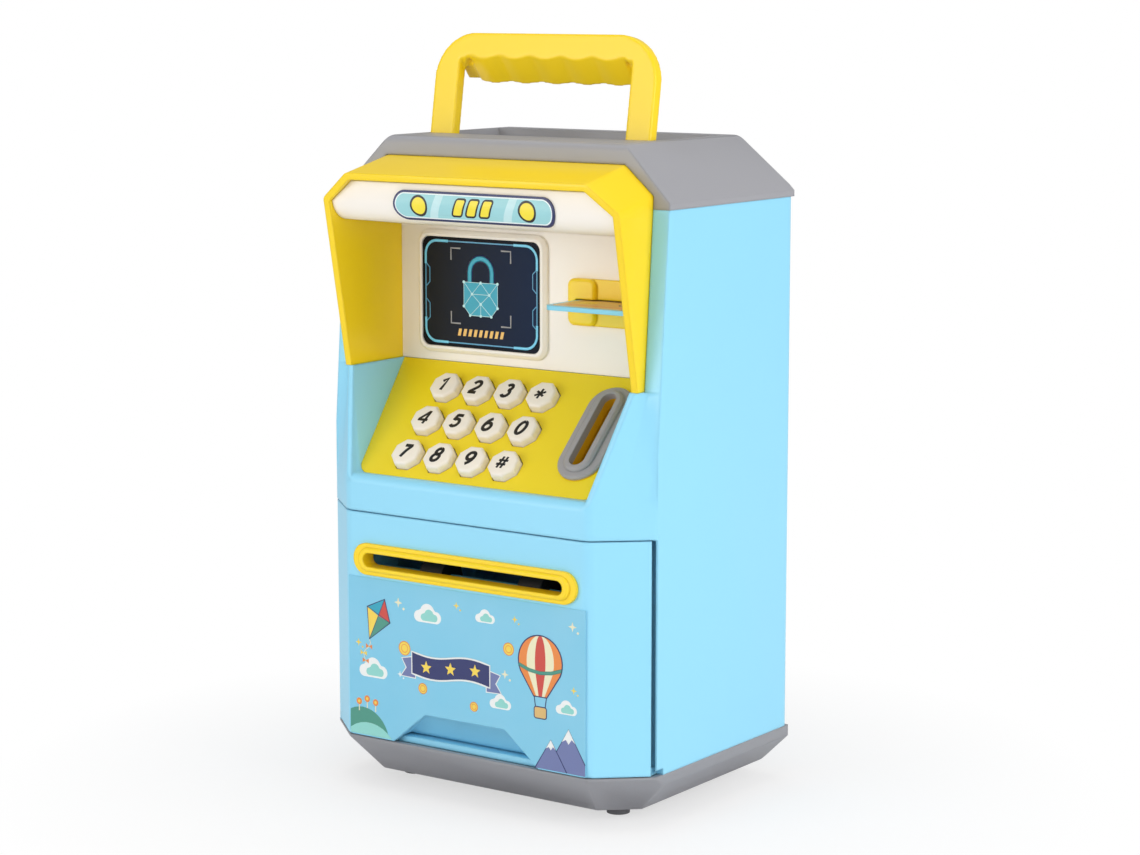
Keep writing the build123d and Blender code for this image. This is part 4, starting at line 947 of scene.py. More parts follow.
class MouldedCopy:
    """Copy of a part of the frame whose sharp edges are rounded; it stands in the part's place."""

    sharp_turn = math.radians(28)  # from this turn on, an edge counts as sharp
    smooth_turn = math.radians(26)  # up to this turn, the shading runs over an edge
    flat_turn = math.radians(0.4)  # up to this turn, two faces are one
    ray_start = 0.05 * MM  # how far before an edge the search for free space starts

    def __init__(self, node: str) -> None:
        """Copy the part and merge its surface into whole faces.

        Args:
            node: Name of the part's node.
        """
        source = frame["nodes"][node]
        self.node = node
        self.body = source["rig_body"]
        self.piece = new_object(node + "_moulded", source.data.copy())
        with editing(self.piece, "SELECT"):
            bpy.ops.mesh.remove_doubles(threshold=0.005 * MM)
            bpy.ops.mesh.dissolve_limited(angle_limit=self.flat_turn)

    def sharp_edges(self) -> List[int]:
        """Find the edges whose faces meet at a sharp angle.

        Returns:
            Their numbers.
        """
        with editing(self.piece):
            bpy.ops.mesh.select_mode(type="EDGE")
            bpy.ops.mesh.select_all(action="DESELECT")
            bpy.ops.mesh.edges_select_sharp(sharpness=self.sharp_turn)
        return [edge.index for edge in self.piece.data.edges if edge.select]

    def round(self, size: float, steps: int, wanted: EdgeTest, outer: bool = True) -> None:
        """Bevel the sharp edges that are wanted.

        Args:
            size: Distance from the old edge to the new ones, in millimetres.
            steps: Number of faces across the new surface.
            wanted: Tells from an edge's middle, direction and length, in millimetres, whether it is taken.
            outer: True to take only edges with free space in front of them.
        """
        mesh = self.piece.data
        sharp = self.sharp_edges()
        sides: Dict[Tuple[int, int], Vector] = {}
        for face in mesh.polygons:
            for key in face.edge_keys:
                sides[key] = sides.get(key, Vector()) + face.normal
        tree = BVHTree.FromPolygons([vertex.co for vertex in mesh.vertices],
                                    [face.vertices for face in mesh.polygons])
        taken = []
        for index in sharp:
            first, last = (mesh.vertices[corner].co for corner in mesh.edges[index].vertices)
            middle, run, out = (first + last) / 2, last - first, sides[mesh.edges[index].key].normalized()
            free = tree.ray_cast(middle + out * self.ray_start, out)[0] is None
            if (free or not outer) and wanted(middle / MM, run.normalized(), run.length / MM):
                taken.append(index)
        for group in (mesh.vertices, mesh.edges, mesh.polygons):
            group.foreach_set("select", [False] * len(group))
        for index in taken:
            mesh.edges[index].select = True
        if taken:
            with editing(self.piece):
                bpy.ops.mesh.bevel(offset=size * MM, offset_type="OFFSET", segments=steps, affect="EDGES",
                                   clamp_overlap=True)
        log.info("%s: %d edges rounded by %.1f mm", self.piece.name, len(taken), size)

    def cut(self, outline: Sequence[Point], low: float, high: float, place: Matrix = Matrix()) -> None:
        """Cut a prism out of the piece.

        Args:
            outline: Outline of the prism on its own X and Y, in millimetres.
            low: Where it starts on its own Z.
            high: Where it ends.
            place: Where its own axes go.
        """
        cutter = to_mesh(filled("cutter", outline, high - low))
        settle(cutter, place @ Matrix.Translation((0, 0, (low + high) / 2 * MM)))
        with editing(cutter, "SELECT"):
            bpy.ops.mesh.remove_doubles(threshold=0.001 * MM)
            bpy.ops.mesh.normals_make_consistent(inside=False)
        step = self.piece.modifiers.new("cut", "BOOLEAN")
        step.operation, step.solver, step.object = "DIFFERENCE", "EXACT", cutter
        apply_modifiers(self.piece)
        bpy.data.objects.remove(cutter)

    def finish(self, shop: PaintShop, finish: Finish, slot: str) -> None:
        """Smooth the shading, dress the piece and put it in the part's place.

        Args:
            shop: Makes the finishes.
            finish: Finish of the piece.
            slot: Material slot of the record; not used.
        """
        select_only(self.piece)
        bpy.ops.object.shade_smooth_by_angle(angle=self.smooth_turn)
        shop.dress(self.piece, finish)
        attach(self.piece, self.body)
        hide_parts(self.node)
        log.info("%s: %d faces", self.piece.name, len(self.piece.data.polygons))


@dataclass
class Mouldings:
    """The housing's large mouldings with softly rounded corners, sizes in millimetres.

    Attributes:
        shop: Makes the finishes.
        corner: Rounding of the upright front corners of shell and door.
        side_corner: Rounding of the shell's cheeks.
        grey_corner: Rounding of the cap and the base.
        rim: Rounding of the hood's rim.
        hood_inner_corner: Rounding inside the hood.
        front_half: Half width of the shell's flat front.
        cheek_half: Half width beyond which an upright edge belongs to a cheek.
        cheek_foot: Height over which it does.
        hood_half: Half width within which an edge lies inside the hood.
        hood_foot: Height over which it does.
        rebate: Outline of the hollow in the shell's wall behind the door's free edge, seen from above.
    """

    shop: PaintShop
    corner: float = 2.2
    side_corner: float = 1.5
    grey_corner: float = 1.5
    rim: float = 0.85
    hood_inner_corner: float = 2.6
    front_half: float = 48.4
    cheek_half: float = 64.0
    cheek_foot: float = 94.0
    hood_half: float = 57.5
    hood_foot: float = 185.0
    rebate: Tuple[Point, ...] = ((64.5, -33.2), (64.5, -31.88), (62.3, -28.8), (61.5, -28.8), (61.5, -33.2))

    def build(self) -> None:
        """Round the shell, door, hood, cap and base."""
        self.build_shell()
        self.build_door()
        self.build_hood()
        for node, finish in (("top_cap", CAP_GREY), ("base_tray", BASE_GREY)):
            part = MouldedCopy(node)
            part.round(self.grey_corner, 3, lambda middle, along, length: length > 3)
            part.finish(self.shop, finish, "warm_grey")

    def at_front_corner(self, middle: Vector, along: Vector) -> bool:
        """Tell whether an edge stands upright at a side of the flat front."""
        return abs(along.z) > 0.95 and abs(abs(middle.x) - self.front_half) < 0.5

    def build_shell(self) -> None:
        """Round the shell's upright corners and rebate its wall behind the door's free edge."""
        low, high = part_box("door")
        shell = MouldedCopy("main_shell")
        shell.cut(self.rebate, low[2] / MM, high[2] / MM)
        shell.round(self.side_corner, 3, lambda middle, along, length: (
            abs(along.z) > 0.8 and length > 8 and abs(middle.x) > self.cheek_half
            and middle.y < 0 and middle.z > self.cheek_foot))
        shell.round(self.corner, 4, lambda middle, along, length: (
            self.at_front_corner(middle, along) and length > 4 and middle.y < -40))
        shell.finish(self.shop, SHELL_BLUE, "shell_blue")

    def build_door(self) -> None:
        """Round the door's two upright front corners."""
        door = MouldedCopy("door")
        door.round(self.corner, 4, lambda middle, along, length: (
            self.at_front_corner(middle, along) and middle.y < -46))
        door.finish(self.shop, SHELL_BLUE, "shell_blue")

    def build_hood(self) -> None:
        """Round the hood's inner corners and then both edges of its rim."""
        hood = MouldedCopy("visor_hood")
        hood.round(self.hood_inner_corner, 4, lambda middle, along, length: (
            abs(along.y) > 0.9 and length > 12 and abs(middle.x) < self.hood_half
            and middle.z > self.hood_foot), outer=False)
        hood.round(self.rim, 3, lambda middle, along, length: middle.y < -30, outer=False)
        hood.finish(self.shop, BRIGHT_YELLOW, "bright_yellow")


@dataclass
class CarryHandle:
    """Carrying handle with a fluted finger grip and soft edges, sizes in millimetres and degrees.

    Attributes:
        shop: Makes the finishes.
        pivot: Middle of its hinge.
        lean: How far it leans back at rest.
        front: Where its front face lies, against the hinge's plane.
        inner_half: Half width of the opening below the grip.
        grip_run: Direction of the grip's underside: back and down.
        grip_edge: Height of the underside's front edge over the hinge.
        flute_pitch: Distance between two finger hollows.
        flute_depth: Depth of a hollow.
        flute_count: Number of bumps, with the hollows between them.
        flute_shape: Power that narrows the bumps.
        cut_half: Half length of the cut along the grip's slope.
        cut_depth: How far the cut reaches below the underside's front edge.
        corner: Rounding at both ends of the underside.
        shoulder: Triangle cut off each end of the grip, behind the arms.
        shoulder_depth: Where that cut starts and ends, on an axis that points forwards.
        grain: Size of the cells of the skin.
        passes: Number of smoothing passes.
    """

    shop: PaintShop
    pivot: Place = (0.0, -4.6, 213.5)
    lean: float = 9.0
    front: float = -2.0
    inner_half: float = 34.6
    grip_run: Pair = (9.0, -8.0)
    grip_edge: float = 29.5
    flute_pitch: float = 12.4
    flute_depth: float = 1.1
    flute_count: int = 5
    flute_shape: float = 1.4
    cut_half: float = 25.0
    cut_depth: float = 40.0
    corner: float = 4.5
    shoulder: Tuple[Point, ...] = ((27.5, 38.0), (42.0, 24.0), (42.0, 38.0))
    shoulder_depth: Pair = (-9.0, -2.03)
    grain: float = 0.4
    passes: int = 6

    def build(self) -> None:
        """Cut the grip's sloping underside and its ends, then melt the handle into one skin and soften it."""
        handle = MouldedCopy("handle")
        lean = Matrix.Rotation(math.radians(-self.lean), 4, "X")
        place = Matrix.Translation(Vector(self.pivot) * MM) @ lean
        handle.cut(self.under_grip(), -self.cut_half, self.cut_half, place @ self.grip_axes())
        upright = place @ Matrix.Rotation(math.radians(90), 4, "X")
        for hand in (-1, 1):
            handle.cut([(hand * x, y) for x, y in self.shoulder], *self.shoulder_depth, upright)
        skin = handle.piece.modifiers.new("skin", "REMESH")
        skin.mode, skin.voxel_size = "VOXEL", self.grain * MM
        soft = handle.piece.modifiers.new("soft", "SMOOTH")
        soft.factor, soft.iterations = 0.5, self.passes
        apply_modifiers(handle.piece)
        handle.finish(self.shop, BRIGHT_YELLOW, "bright_yellow")
        select_only(handle.piece)
        bpy.ops.object.shade_smooth()

    def grip_axes(self) -> Matrix:
        """Axes of the underside.

        Returns:
            X across, Y square to the slope and Z along it.
        """
        back, drop = Vector(self.grip_run).normalized()
        turn = Matrix(((1, 0, 0), (0, -drop, -back), (0, back, -drop)))
        return Matrix.Translation(Vector((0, self.front, self.grip_edge)) * MM) @ turn.to_4x4()

    def under_grip(self) -> List[Point]:
        """Outline of what is cut away below the grip.

        Returns:
            Its points, seen along the grip's slope.
        """
        rise = Vector(self.grip_run).normalized().x
        end = arc((self.inner_half - self.corner, -self.corner), self.corner, 0, 78, 8)
        line = [(-x, y) for x, y in end]
        runs = 60
        for step in range(runs + 1):
            x = (step / (runs / 2) - 1) * (self.flute_count / 2) * self.flute_pitch
            depth = abs(math.cos(math.pi * x / self.flute_pitch)) ** self.flute_shape
            line.append((x, -self.flute_depth * depth))
        line += reversed(end)
        line += [(self.inner_half, -self.cut_depth), (-self.inner_half, -self.cut_depth)]
        return [(x, rise * y) for x, y in line]


@dataclass
class Sign:
    """Printed sign on the valance, a little right of the middle.

    Attributes:
        shop: Makes the finishes.
        shift: How far the plate's copy stands to the right, in millimetres.
        share: Length of the copy against the plate's.
        ground: Colour of its ground.
    """

    shop: PaintShop
    shift: float = 1.8
    share: float = 0.968
    ground: Colour = linear(158, 214, 220)

    def build(self) -> None:
        """Shift and shorten a copy of the sign's plate and print it.

        The copy isn't merged, because a merged one has a crease in its shading.
        """
        low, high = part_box("sign_plate")
        source = frame["nodes"]["sign_plate"]
        plate = new_object("sign_print", source.data.copy())
        settle(plate, Matrix.Translation((self.shift * MM, 0, 0)) @ Matrix.Diagonal((self.share, 1, 1, 1)))
        self.shop.dress(plate, SignPrint("sign_print", self.ground, self.shift * MM, (low[2] + high[2]) / 2,
                                         self.share * (high[0] - low[0]), high[2] - low[2]))
        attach(plate, source["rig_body"])
        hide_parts("sign_plate")


# ------------------------------------------------------------------ keypad
def legend_strokes(mark: str) -> List[List[Point]]:
    """Strokes of one digit or mark, 5.4 high and upright.

    Args:
        mark: Name of the key.

    Returns:
        Points along each stroke.
    """
    strokes: Dict[str, List[List[Point]]] = {
        "0": [arc((0, 0), 1.65, 90, 450, 24, 1.62)],
        "1": [[(-1.3, 1.3), (0.35, 2.7), (0.35, -2.7)]],
        "2": [[*arc((0, 1.15), 1.55, 165, -35, 10), (-1.5, -2.3)], [(-1.85, -2.35), (1.8, -2.35)]],
        "3": [arc((0, 1.3), 1.3, 150, -85, 10), arc((0, -1.2), 1.55, 90, -155, 12)],
        "4": [[(1.0, -2.9), (1.0, 2.9)], [(0.9, 2.7), (-2.0, -1.1)], [(-2.3, -1.2), (2.2, -1.2)]],
        "5": [[(1.6, 2.4), (-1.2, 2.4)], [(-0.95, 2.7), (-1.3, 0.1)], arc((0, -0.9), 1.65, 130, -145, 12)],
        "6": [arc((0, -1.05), 1.6, 150, 510, 20), [*arc((1.4, -1.0), 3.05, 172, 108, 8, 1.18)]],
        "7": [[(-1.7, 2.4), (1.85, 2.4)], [(1.45, 2.5), (0.2, 0.0), (-0.45, -2.7)]],
        "8": [arc((0, 1.35), 1.3, 90, 450, 18), arc((0, -1.25), 1.55, 90, 450, 20)],
        "9": [arc((0, 1.05), 1.6, -30, 330, 20), [*arc((-1.4, 1.0), 3.05, -8, -72, 8, 1.18)]],
        "star": [[(side * 2.2 * math.cos(turn), side * 2.2 * math.sin(turn)) for side in (1, -1)]
                 for turn in (math.radians(90), math.radians(28), math.radians(152))],
        "hash": [[(-0.8, -2.5), (-0.8, 2.5)], [(0.9, -2.5), (0.9, 2.5)], [(-2.0, 0.85), (2.1, 0.85)],
                 [(-2.1, -0.85), (2.0, -0.85)]],
    }
    return strokes[mark]


@dataclass
class Keypad:
    """Twelve octagonal keys with slanted legends, on the sloping plate; sizes in millimetres.

    Attributes:
        shop: Makes the finishes.
        across: Width of a key over its flats.
        proud: Height of a key over the plate.
        under: Depth of a key below the plate's face.
        skirt: How far its skirt stands out.
        skirt_height: Height of the skirt.
        softness: Rounding of its top.
        lean: How far the legends lean for each millimetre up.
        stroke: Width of the legends' strokes.
        thin_strokes: Width of the strokes of busy marks, against the others.
        narrow: Width of the legends against their drawing.
        low: Height of the legends against their drawing.
        face_play: How far below its top a corner of a key still belongs to its face.
    """

    shop: PaintShop
    across: float = 10.4
    proud: float = 3.0
    under: float = 3.2
    skirt: float = 0.9
    skirt_height: float = 1.0
    softness: float = 1.1
    lean: float = 0.19
    stroke: float = 1.28
    thin_strokes: Tuple[Tuple[str, float], ...] = (("star", 0.68), ("hash", 0.68), ("4", 0.8))
    narrow: float = 0.88
    low: float = 0.93
    face_play: float = 0.05

    def build(self) -> None:
        """Copy the key to every place and print its legend."""
        pattern = self.model()
        for node in [name for name in frame["nodes"] if name.startswith("key_")]:
            mark = node[len("key_"):]
            place = self.place(node)
            key = new_object("keycap_" + mark, pattern.data.copy())
            settle(key, place)
            self.shop.dress(key, KEY_CREAM)
            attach(key, node)
            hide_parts(node)
            self.print_legend(node, mark, place)
        bpy.data.objects.remove(pattern)

    def print_legend(self, node: str, mark: str, place: Matrix) -> None:
        """Print the legend on top of one key.

        Args:
            node: Name of the key's node.
            mark: Digit or mark to print.
            place: The key's own plane.
        """
        press = Press("legend_" + mark, node, "dark_plastic", self.shop,
                      place @ Matrix.Translation((0, 0, self.proud * MM)))
        width = dict(self.thin_strokes).get(mark, 1.0) * self.stroke
        for points in legend_strokes(mark):
            press.line(INK_BLACK, [(self.narrow * x + self.lean * y, self.low * y) for x, y in points], width)
        press.finish()

    def place(self, node: str) -> Matrix:
        """Find a key's own plane: origin in the plate's face, Z out of it.

        Args:
            node: Name of the key's node.

        Returns:
            The plane's matrix.
        """
        out = Vector((0, -math.sin(PLATE_SLOPE), math.cos(PLATE_SLOPE)))
        up = Vector((0, math.cos(PLATE_SLOPE), math.sin(PLATE_SLOPE)))
        corners = [vertex.co for vertex in frame["nodes"][node].data.vertices]
        top = max(corner.dot(out) for corner in corners)
        face = [corner for corner in corners if top - corner.dot(out) < self.face_play * MM]
        middle = sum(face, Vector()) / len(face)
        middle = Vector((middle.x, 0, 0)) + up * middle.dot(up) + out * (top - self.proud * MM)
        return Matrix(((1, up.x, out.x, middle.x), (0, up.y, out.y, middle.y), (0, up.z, out.z, middle.z),
                       (0, 0, 0, 1)))

    def model(self) -> bpy.types.Object:
        """Model one key around the origin: octagon, wider skirt below and softly rounded top.

        Returns:
            The key to copy.
        """
        half_side = math.pi / 8
        bpy.ops.mesh.primitive_cylinder_add(vertices=8, radius=self.across / 2 / math.cos(half_side) * MM,
                                            depth=(self.proud + self.under) * MM, rotation=(0, 0, half_side),
                                            location=(0, 0, (self.proud - self.under) / 2 * MM))
        key = bpy.context.object
        bpy.ops.object.transform_apply(location=True, rotation=True, scale=True)
        wide = 1 + 2 * self.skirt / self.across
        down = (0, 0, -self.skirt_height * MM)
        self.pick(key, lambda normal: normal.z < -0.9)
        with editing(key):
            bpy.ops.mesh.extrude_region_move(TRANSFORM_OT_translate={"value": (0, 0, 0)})
            bpy.ops.transform.resize(value=(wide, wide, 1))
            bpy.ops.mesh.extrude_region_move(TRANSFORM_OT_translate={"value": down})
        self.pick(key, lambda normal: normal.z > 0.9)
        with editing(key):
            bpy.ops.mesh.bevel(offset=self.softness * MM, segments=5, affect="EDGES")
        bpy.ops.object.shade_smooth_by_angle(angle=math.radians(30))
        return key

    def pick(self, key: bpy.types.Object, wanted: Callable[[Vector], bool]) -> None:
        """Select the faces whose normal is wanted.

        Args:
            key: The key.
            wanted: Tells from a face's normal whether it is taken.
        """
        with editing(key):
            bpy.ops.mesh.select_mode(type="FACE")
            bpy.ops.mesh.select_all(action="DESELECT")
        for face in key.data.polygons:
            face.select = wanted(face.normal)


# ------------------------------------------------------------------ display
@dataclass
class Display:
    """Printed screen: night ground, glowing border, corner brackets and a padlock of facets, in millimetres.

    Attributes:
        shop: Makes the finishes.
        margin: Distance from the window's edge to the border.
        corner: Radius of the border's corners.
        bright_run: How far the bright corners run along the top and down the side.
        bracket_x: Half width of the frame of brackets round the padlock.
        bracket_z: Half height of that frame.
        bracket_leg: Length of a bracket's leg.
        rise: How far padlock and brackets stand above the middle.
        bars: Number of slanted bars in the row below.
        bar_start: Place of the first bar.
        bar_pitch: Distance from one bar to the next.
    """

    shop: PaintShop
    margin: float = 1.3
    corner: float = 4.6
    bright_run: Pair = (9.5, 8.0)
    bracket_x: float = 12.4
    bracket_z: float = 12.6
    bracket_leg: float = 4.0
    rise: float = 2.2
    bars: int = 9
    bar_start: float = -8.8
    bar_pitch: float = 2.2

    def build(self) -> None:
        """Print the screen on the display window."""
        low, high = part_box("display_window")
        press = Press("screen", "housing", "screen", self.shop,
                      facing_front((low[0] + high[0]) / 2, low[1], (low[2] + high[2]) / 2))
        wide = (high[0] - low[0]) / MM - 2 * self.margin
        tall = (high[2] - low[2]) / MM - 2 * self.margin
        border = rounded(wide, tall, self.corner)
        press.shape(SCREEN_NIGHT, border)
        press.line(GLOW_DIM, border, 0.5, 2, True)
        self.border_parts(press, wide / 2, tall / 2)
        self.brackets(press)
        self.padlock(press)
        for step in range(self.bars):
            x = self.bar_start + self.bar_pitch * step
            z = -self.bracket_z - 1.9
            press.shape(GLOW_AMBER, [(x - 0.9, z), (x + 0.3, z), (x + 0.9, z + 2.4), (x - 0.3, z + 2.4)], 2)
        press.finish()

    def border_parts(self, press: Press, reach_x: float, reach_z: float) -> None:
        """Print the border's bright thick corners and the thin stepped rails inside both sides.

        Args:
            press: The screen's press.
            reach_x: Half width of the border.
            reach_z: Half height of the border.
        """
        bend = arc((reach_x - self.corner, reach_z - self.corner), self.corner, 90, 0, 8)
        path = [(reach_x - self.bright_run[0], reach_z), *bend, (reach_x, reach_z - self.bright_run[1])]
        for sx, sz in product((-1, 1), repeat=2):
            press.line(GLOW_CYAN, [(sx * x, sz * z) for x, z in path], 0.95, 3)
        for sx, z in product((-1, 1), (4.6, -7.4)):
            rail = [(reach_x - 0.3, z + 4.6), (reach_x - 1.7, z + 3.2), (reach_x - 1.7, z - 1.6),
                    (reach_x - 0.3, z - 3.0)]
            press.line(GLOW_DIM, [(sx * x, height) for x, height in rail], 0.38, 2)

    def brackets(self, press: Press) -> None:
        """Print four corner brackets round the motif.

        Args:
            press: The screen's press.
        """
        x, z, leg = self.bracket_x, self.bracket_z, self.bracket_leg
        for sx, sz in product((-1, 1), repeat=2):
            press.line(GLOW_GREY, [(sx * (x - leg), self.rise + sz * z), (sx * x, self.rise + sz * z),
                                   (sx * x, self.rise + sz * (z - leg))], 0.6, 2)

    def padlock(self, press: Press) -> None:
        """Print a padlock made of facets, with bright knots where its lines meet.

        Args:
            press: The screen's press.
        """
        rise = self.rise
        knots = [(x, z + rise) for x, z in (
            (-7.0, 1.5), (0.0, 1.5), (7.0, 1.5), (-3.6, -2.4), (3.6, -2.4), (-7.0, -6.6), (0.0, -5.6),
            (7.0, -6.6), (-4.4, -9.6), (4.4, -9.6), (0.0, -9.6))]
        shackle = [(4.6, 1.5 + rise), *arc((0, 5.0 + rise), 4.6, 0, 180, 10), (-4.6, 1.5 + rise)]
        press.line(INK_NAVY, shackle, 2.6, 2)
        press.line(INK_TEAL, shackle, 1.7, 3)
        press.shape(INK_TEAL, [knots[index] for index in (0, 5, 8, 9, 7, 2)], 3)
        for first, last in ((0, 1), (1, 2), (0, 3), (1, 3), (1, 4), (2, 4), (3, 5), (3, 6), (4, 6), (4, 7),
                            (0, 5), (2, 7), (5, 8), (6, 8), (6, 9), (6, 10), (7, 9), (8, 9), (3, 4)):
            press.line(GLOW_PALE, [knots[first], knots[last]], 0.22, 4)
        for knot in knots:
            press.disc(GLOW_PALE, knot, 0.5, 5)


# ------------------------------------------------------------------ door label
@dataclass
class DoorLabel:
    """Printed sky on the door's label: balloon, kite, clouds, hills, peaks and coins.

    Places and sizes are in millimetres from the middle of the label's lower edge.

    Attributes:
        shop: Makes the finishes.
        edge: Half width of what is printed.
        floor: Where hills and peaks stand.
        clouds: Middle of the base and half length of each cloud.
        coins: Middle and radius of each coin.
        sparks: Middle, size and ink of each spark and the dot beside it.
    """

    shop: PaintShop
    edge: float = 47.9
    floor: float = 0.3
    clouds: Tuple[Spot, ...] = ((-15.0, 42.0, 6.0), (8.5, 45.0, 4.2), (-38.0, 20.5, 6.4), (14.5, 17.5, 4.6),
                                 (40.5, 19.5, 4.4))
    coins: Tuple[Spot, ...] = ((-24.5, 32.0, 2.3), (-17.0, 19.5, 1.7), (18.0, 37.5, 2.0), (4.0, 16.5, 1.5))
    sparks: Tuple[Tuple[float, float, float, Finish], ...] = (
        (-27.0, 47.0, 1.7, INK_CREAM), (-3.0, 49.0, 1.2, INK_YELLOW), (16.5, 29.0, 1.5, INK_CREAM),
        (-44.0, 31.5, 1.3, INK_YELLOW), (43.0, 48.0, 1.6, INK_CREAM), (20.5, 47.5, 1.2, INK_YELLOW),
        (-26.5, 23.0, 1.1, INK_WHITE), (43.5, 27.5, 1.2, INK_YELLOW))

    def build(self) -> None:
        """Print the label."""
        low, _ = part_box("door_label")
        press = Press("label", "door", "printed_label", self.shop, facing_front(0.0, low[1], low[2]))
        self.hills(press)
        self.peak(press, (41.5, 14.6), 8.6, 1)
        self.peak(press, (34.6, 10.2), 6.2, 3)
        self.balloon(press, (30.5, 35.0), 8.6)
        self.kite(press, (-35.5, 41.5), 6.2)
        self.ribbon(press, (-5.5, 27.5))
        for x, z, size in self.clouds:
            press.shape(INK_WHITE, cloud((x, z), size))
            press.shape(INK_MINT, cloud((x + 0.12 * size, z + 0.08 * size), 0.62 * size), 2)
        for x, z, radius in self.coins:
            press.disc(INK_YELLOW, (x, z), radius)
            press.ring(INK_ORANGE, (x, z), radius, 0.3, 2)
            press.ring(INK_ORANGE, (x, z), 0.58 * radius, 0.22, 2)
        for x, z, size, ink in self.sparks:
            press.shape(ink, spiky((x, z), size, 0.34 * size, 4))
            press.disc(ink, (x + 1.3 * size, z - 1.1 * size), 0.26 * size)
        press.finish()

    def hills(self, press: Press) -> None:
        """Print the two rounded hills at the lower left, with three flowers.

        Args:
            press: The label's press.
        """
        start = (-self.edge, self.floor)
        press.shape(INK_GREEN, [start, *arc((-42.5, -1.6), 11.2, 118, 22, 10), (-31.6, self.floor)])
        press.shape(INK_MINT, [start, *arc((-40.0, -8.6), 13.2, 126, 42, 8)], 2)
        for x, z in ((-44.0, 8.2), (-40.6, 9.4), (-37.0, 8.6)):
            press.line(INK_CREAM, [(x, z), (x, z + 2.6)], 0.45, 2)
            press.disc(INK_ORANGE, (x, z + 3.2), 1.15, 2)
            press.disc(INK_YELLOW, (x, z + 3.2), 0.5, 3)

    def peak(self, press: Press, tip: Point, half: float, layer: int) -> None:
        """Print a snowy peak at the lower right, cut off where it would pass the label's edge.

        Args:
            press: The label's press.
            tip: Its tip.
            half: Half width of its foot.
            layer: Layer of its ground.
        """
        middle, top = tip
        tall = top - self.floor
        right = min(self.edge, middle + half)
        slope = [(middle - half, self.floor), tip, (right, top - (right - middle) / half * tall)]
        press.shape(INK_PLUM, [*slope, (right, self.floor)], layer)
        press.line(INK_NAVY, slope, 0.35, layer + 1)
        snow = ((0.0, 0.0), (-0.30, 0.30), (-0.12, 0.24), (0.0, 0.34), (0.14, 0.22), (0.30, 0.30))
        press.shape(INK_WHITE, [(middle + side * half, top - drop * tall) for side, drop in snow], layer + 1)

    def balloon(self, press: Press, centre: Point, radius: float) -> None:
        """Print a striped balloon with a basket.

        Args:
            press: The label's press.
            centre: Middle of the envelope.
            radius: Its radius.
        """
        x, z = centre

        def at(side: float, up: float) -> Point:
            """Point at a share of the radius from the centre."""
            return x + side * radius, z + up * radius

        outline = [*arc(centre, radius, -25, 205, 26), at(-0.30, -1.32), at(0.30, -1.32)]
        press.shape(INK_ORANGE, outline)
        for share, ink, layer in ((0.62, INK_CREAM, 2), (0.24, INK_RED, 3)):
            press.shape(ink, [(x + share * (px - x), pz) for px, pz in outline], layer)
        press.line(INK_NAVY, outline, 0.4, 4, True)
        belt = ((-0.98, -0.2), (-0.5, -0.36), (0.0, -0.42), (0.5, -0.36), (0.98, -0.2))
        press.line(INK_GREEN, [at(*place) for place in belt], 1.2, 4)
        for side in (-1, 1):
            press.line(INK_NAVY, [at(side * 0.28, -1.32), at(side * 0.22, -1.72)], 0.35, 2)
        basket = rounded(0.56 * radius, 0.44 * radius, 0.8, at(0.0, -1.92))
        press.shape(INK_TAN, basket, 2)
        press.line(INK_NAVY, basket, 0.35, 3, True)

    def kite(self, press: Press, centre: Point, size: float) -> None:
        """Print a kite of four colours and its tail.

        Args:
            press: The label's press.
            centre: Where its spars cross.
            size: Length of its upper half.
        """
        x, z = centre
        top, left, low, right = ((x + side * size, z + up * size) for side, up in (
            (0.45, 0.95), (-0.75, 0.42), (-0.62, -1.35), (0.80, -0.30)))
        for first, last, ink in ((top, left, INK_TEAL), (left, low, INK_YELLOW), (low, right, INK_GREEN),
                                 (right, top, INK_RED)):
            press.shape(ink, [centre, first, last])
        press.line(INK_NAVY, [top, left, low, right], 0.4, 2, True)
        press.line(INK_NAVY, [top, low], 0.25, 2)
        press.line(INK_NAVY, [left, right], 0.25, 2)
        tail = [(low[0] - 0.4 * step + 0.9 * math.sin(1.2 * step), low[1] - 1.25 * step) for step in range(8)]
        press.line(INK_CREAM, tail, 0.3)
        for step, ink in ((2, INK_ORANGE), (4, INK_YELLOW), (6, INK_ORANGE)):
            bx, bz = tail[step]
            press.shape(ink, [(bx, bz), (bx - 1.3, bz + 0.9), (bx - 1.3, bz - 0.7)], 2)
            press.shape(ink, [(bx, bz), (bx + 1.3, bz + 0.7), (bx + 1.3, bz - 0.9)], 2)

    def ribbon(self, press: Press, centre: Point) -> None:
        """Print a wavy navy ribbon with a pale rim and three stars.

        Args:
            press: The label's press.
            centre: Its middle.
        """
        x, z = centre
        half_steps, half_tall = 8, 3.7
        steps = range(-half_steps, half_steps + 1)
        wave = [(x + 2.0 * step, z + 0.9 * math.sin(0.42 * step)) for step in steps]
        for side, (ex, ez) in ((-1, wave[0]), (1, wave[-1])):
            tail = [(ex - side * 1.5, ez + 2.2), (ex + side * 4.2, ez + 1.0), (ex + side * 2.4, ez - 2.0),
                    (ex + side * 4.6, ez - 5.0), (ex - side * 1.5, ez - 5.2)]
            press.shape(INK_PLUM, tail)
            press.line(INK_WHITE, tail, 0.5, 2, True)
        band = [(px, pz + half_tall) for px, pz in wave] + [(px, pz - half_tall) for px, pz in reversed(wave)]
        press.shape(INK_NAVY, band, 3)
        press.line(INK_WHITE, band, 0.6, 4, True)
        for step in (-5, 0, 5):
            press.shape(INK_YELLOW, spiky(wave[step + half_steps], 2.3, 1.0, 5), 4)


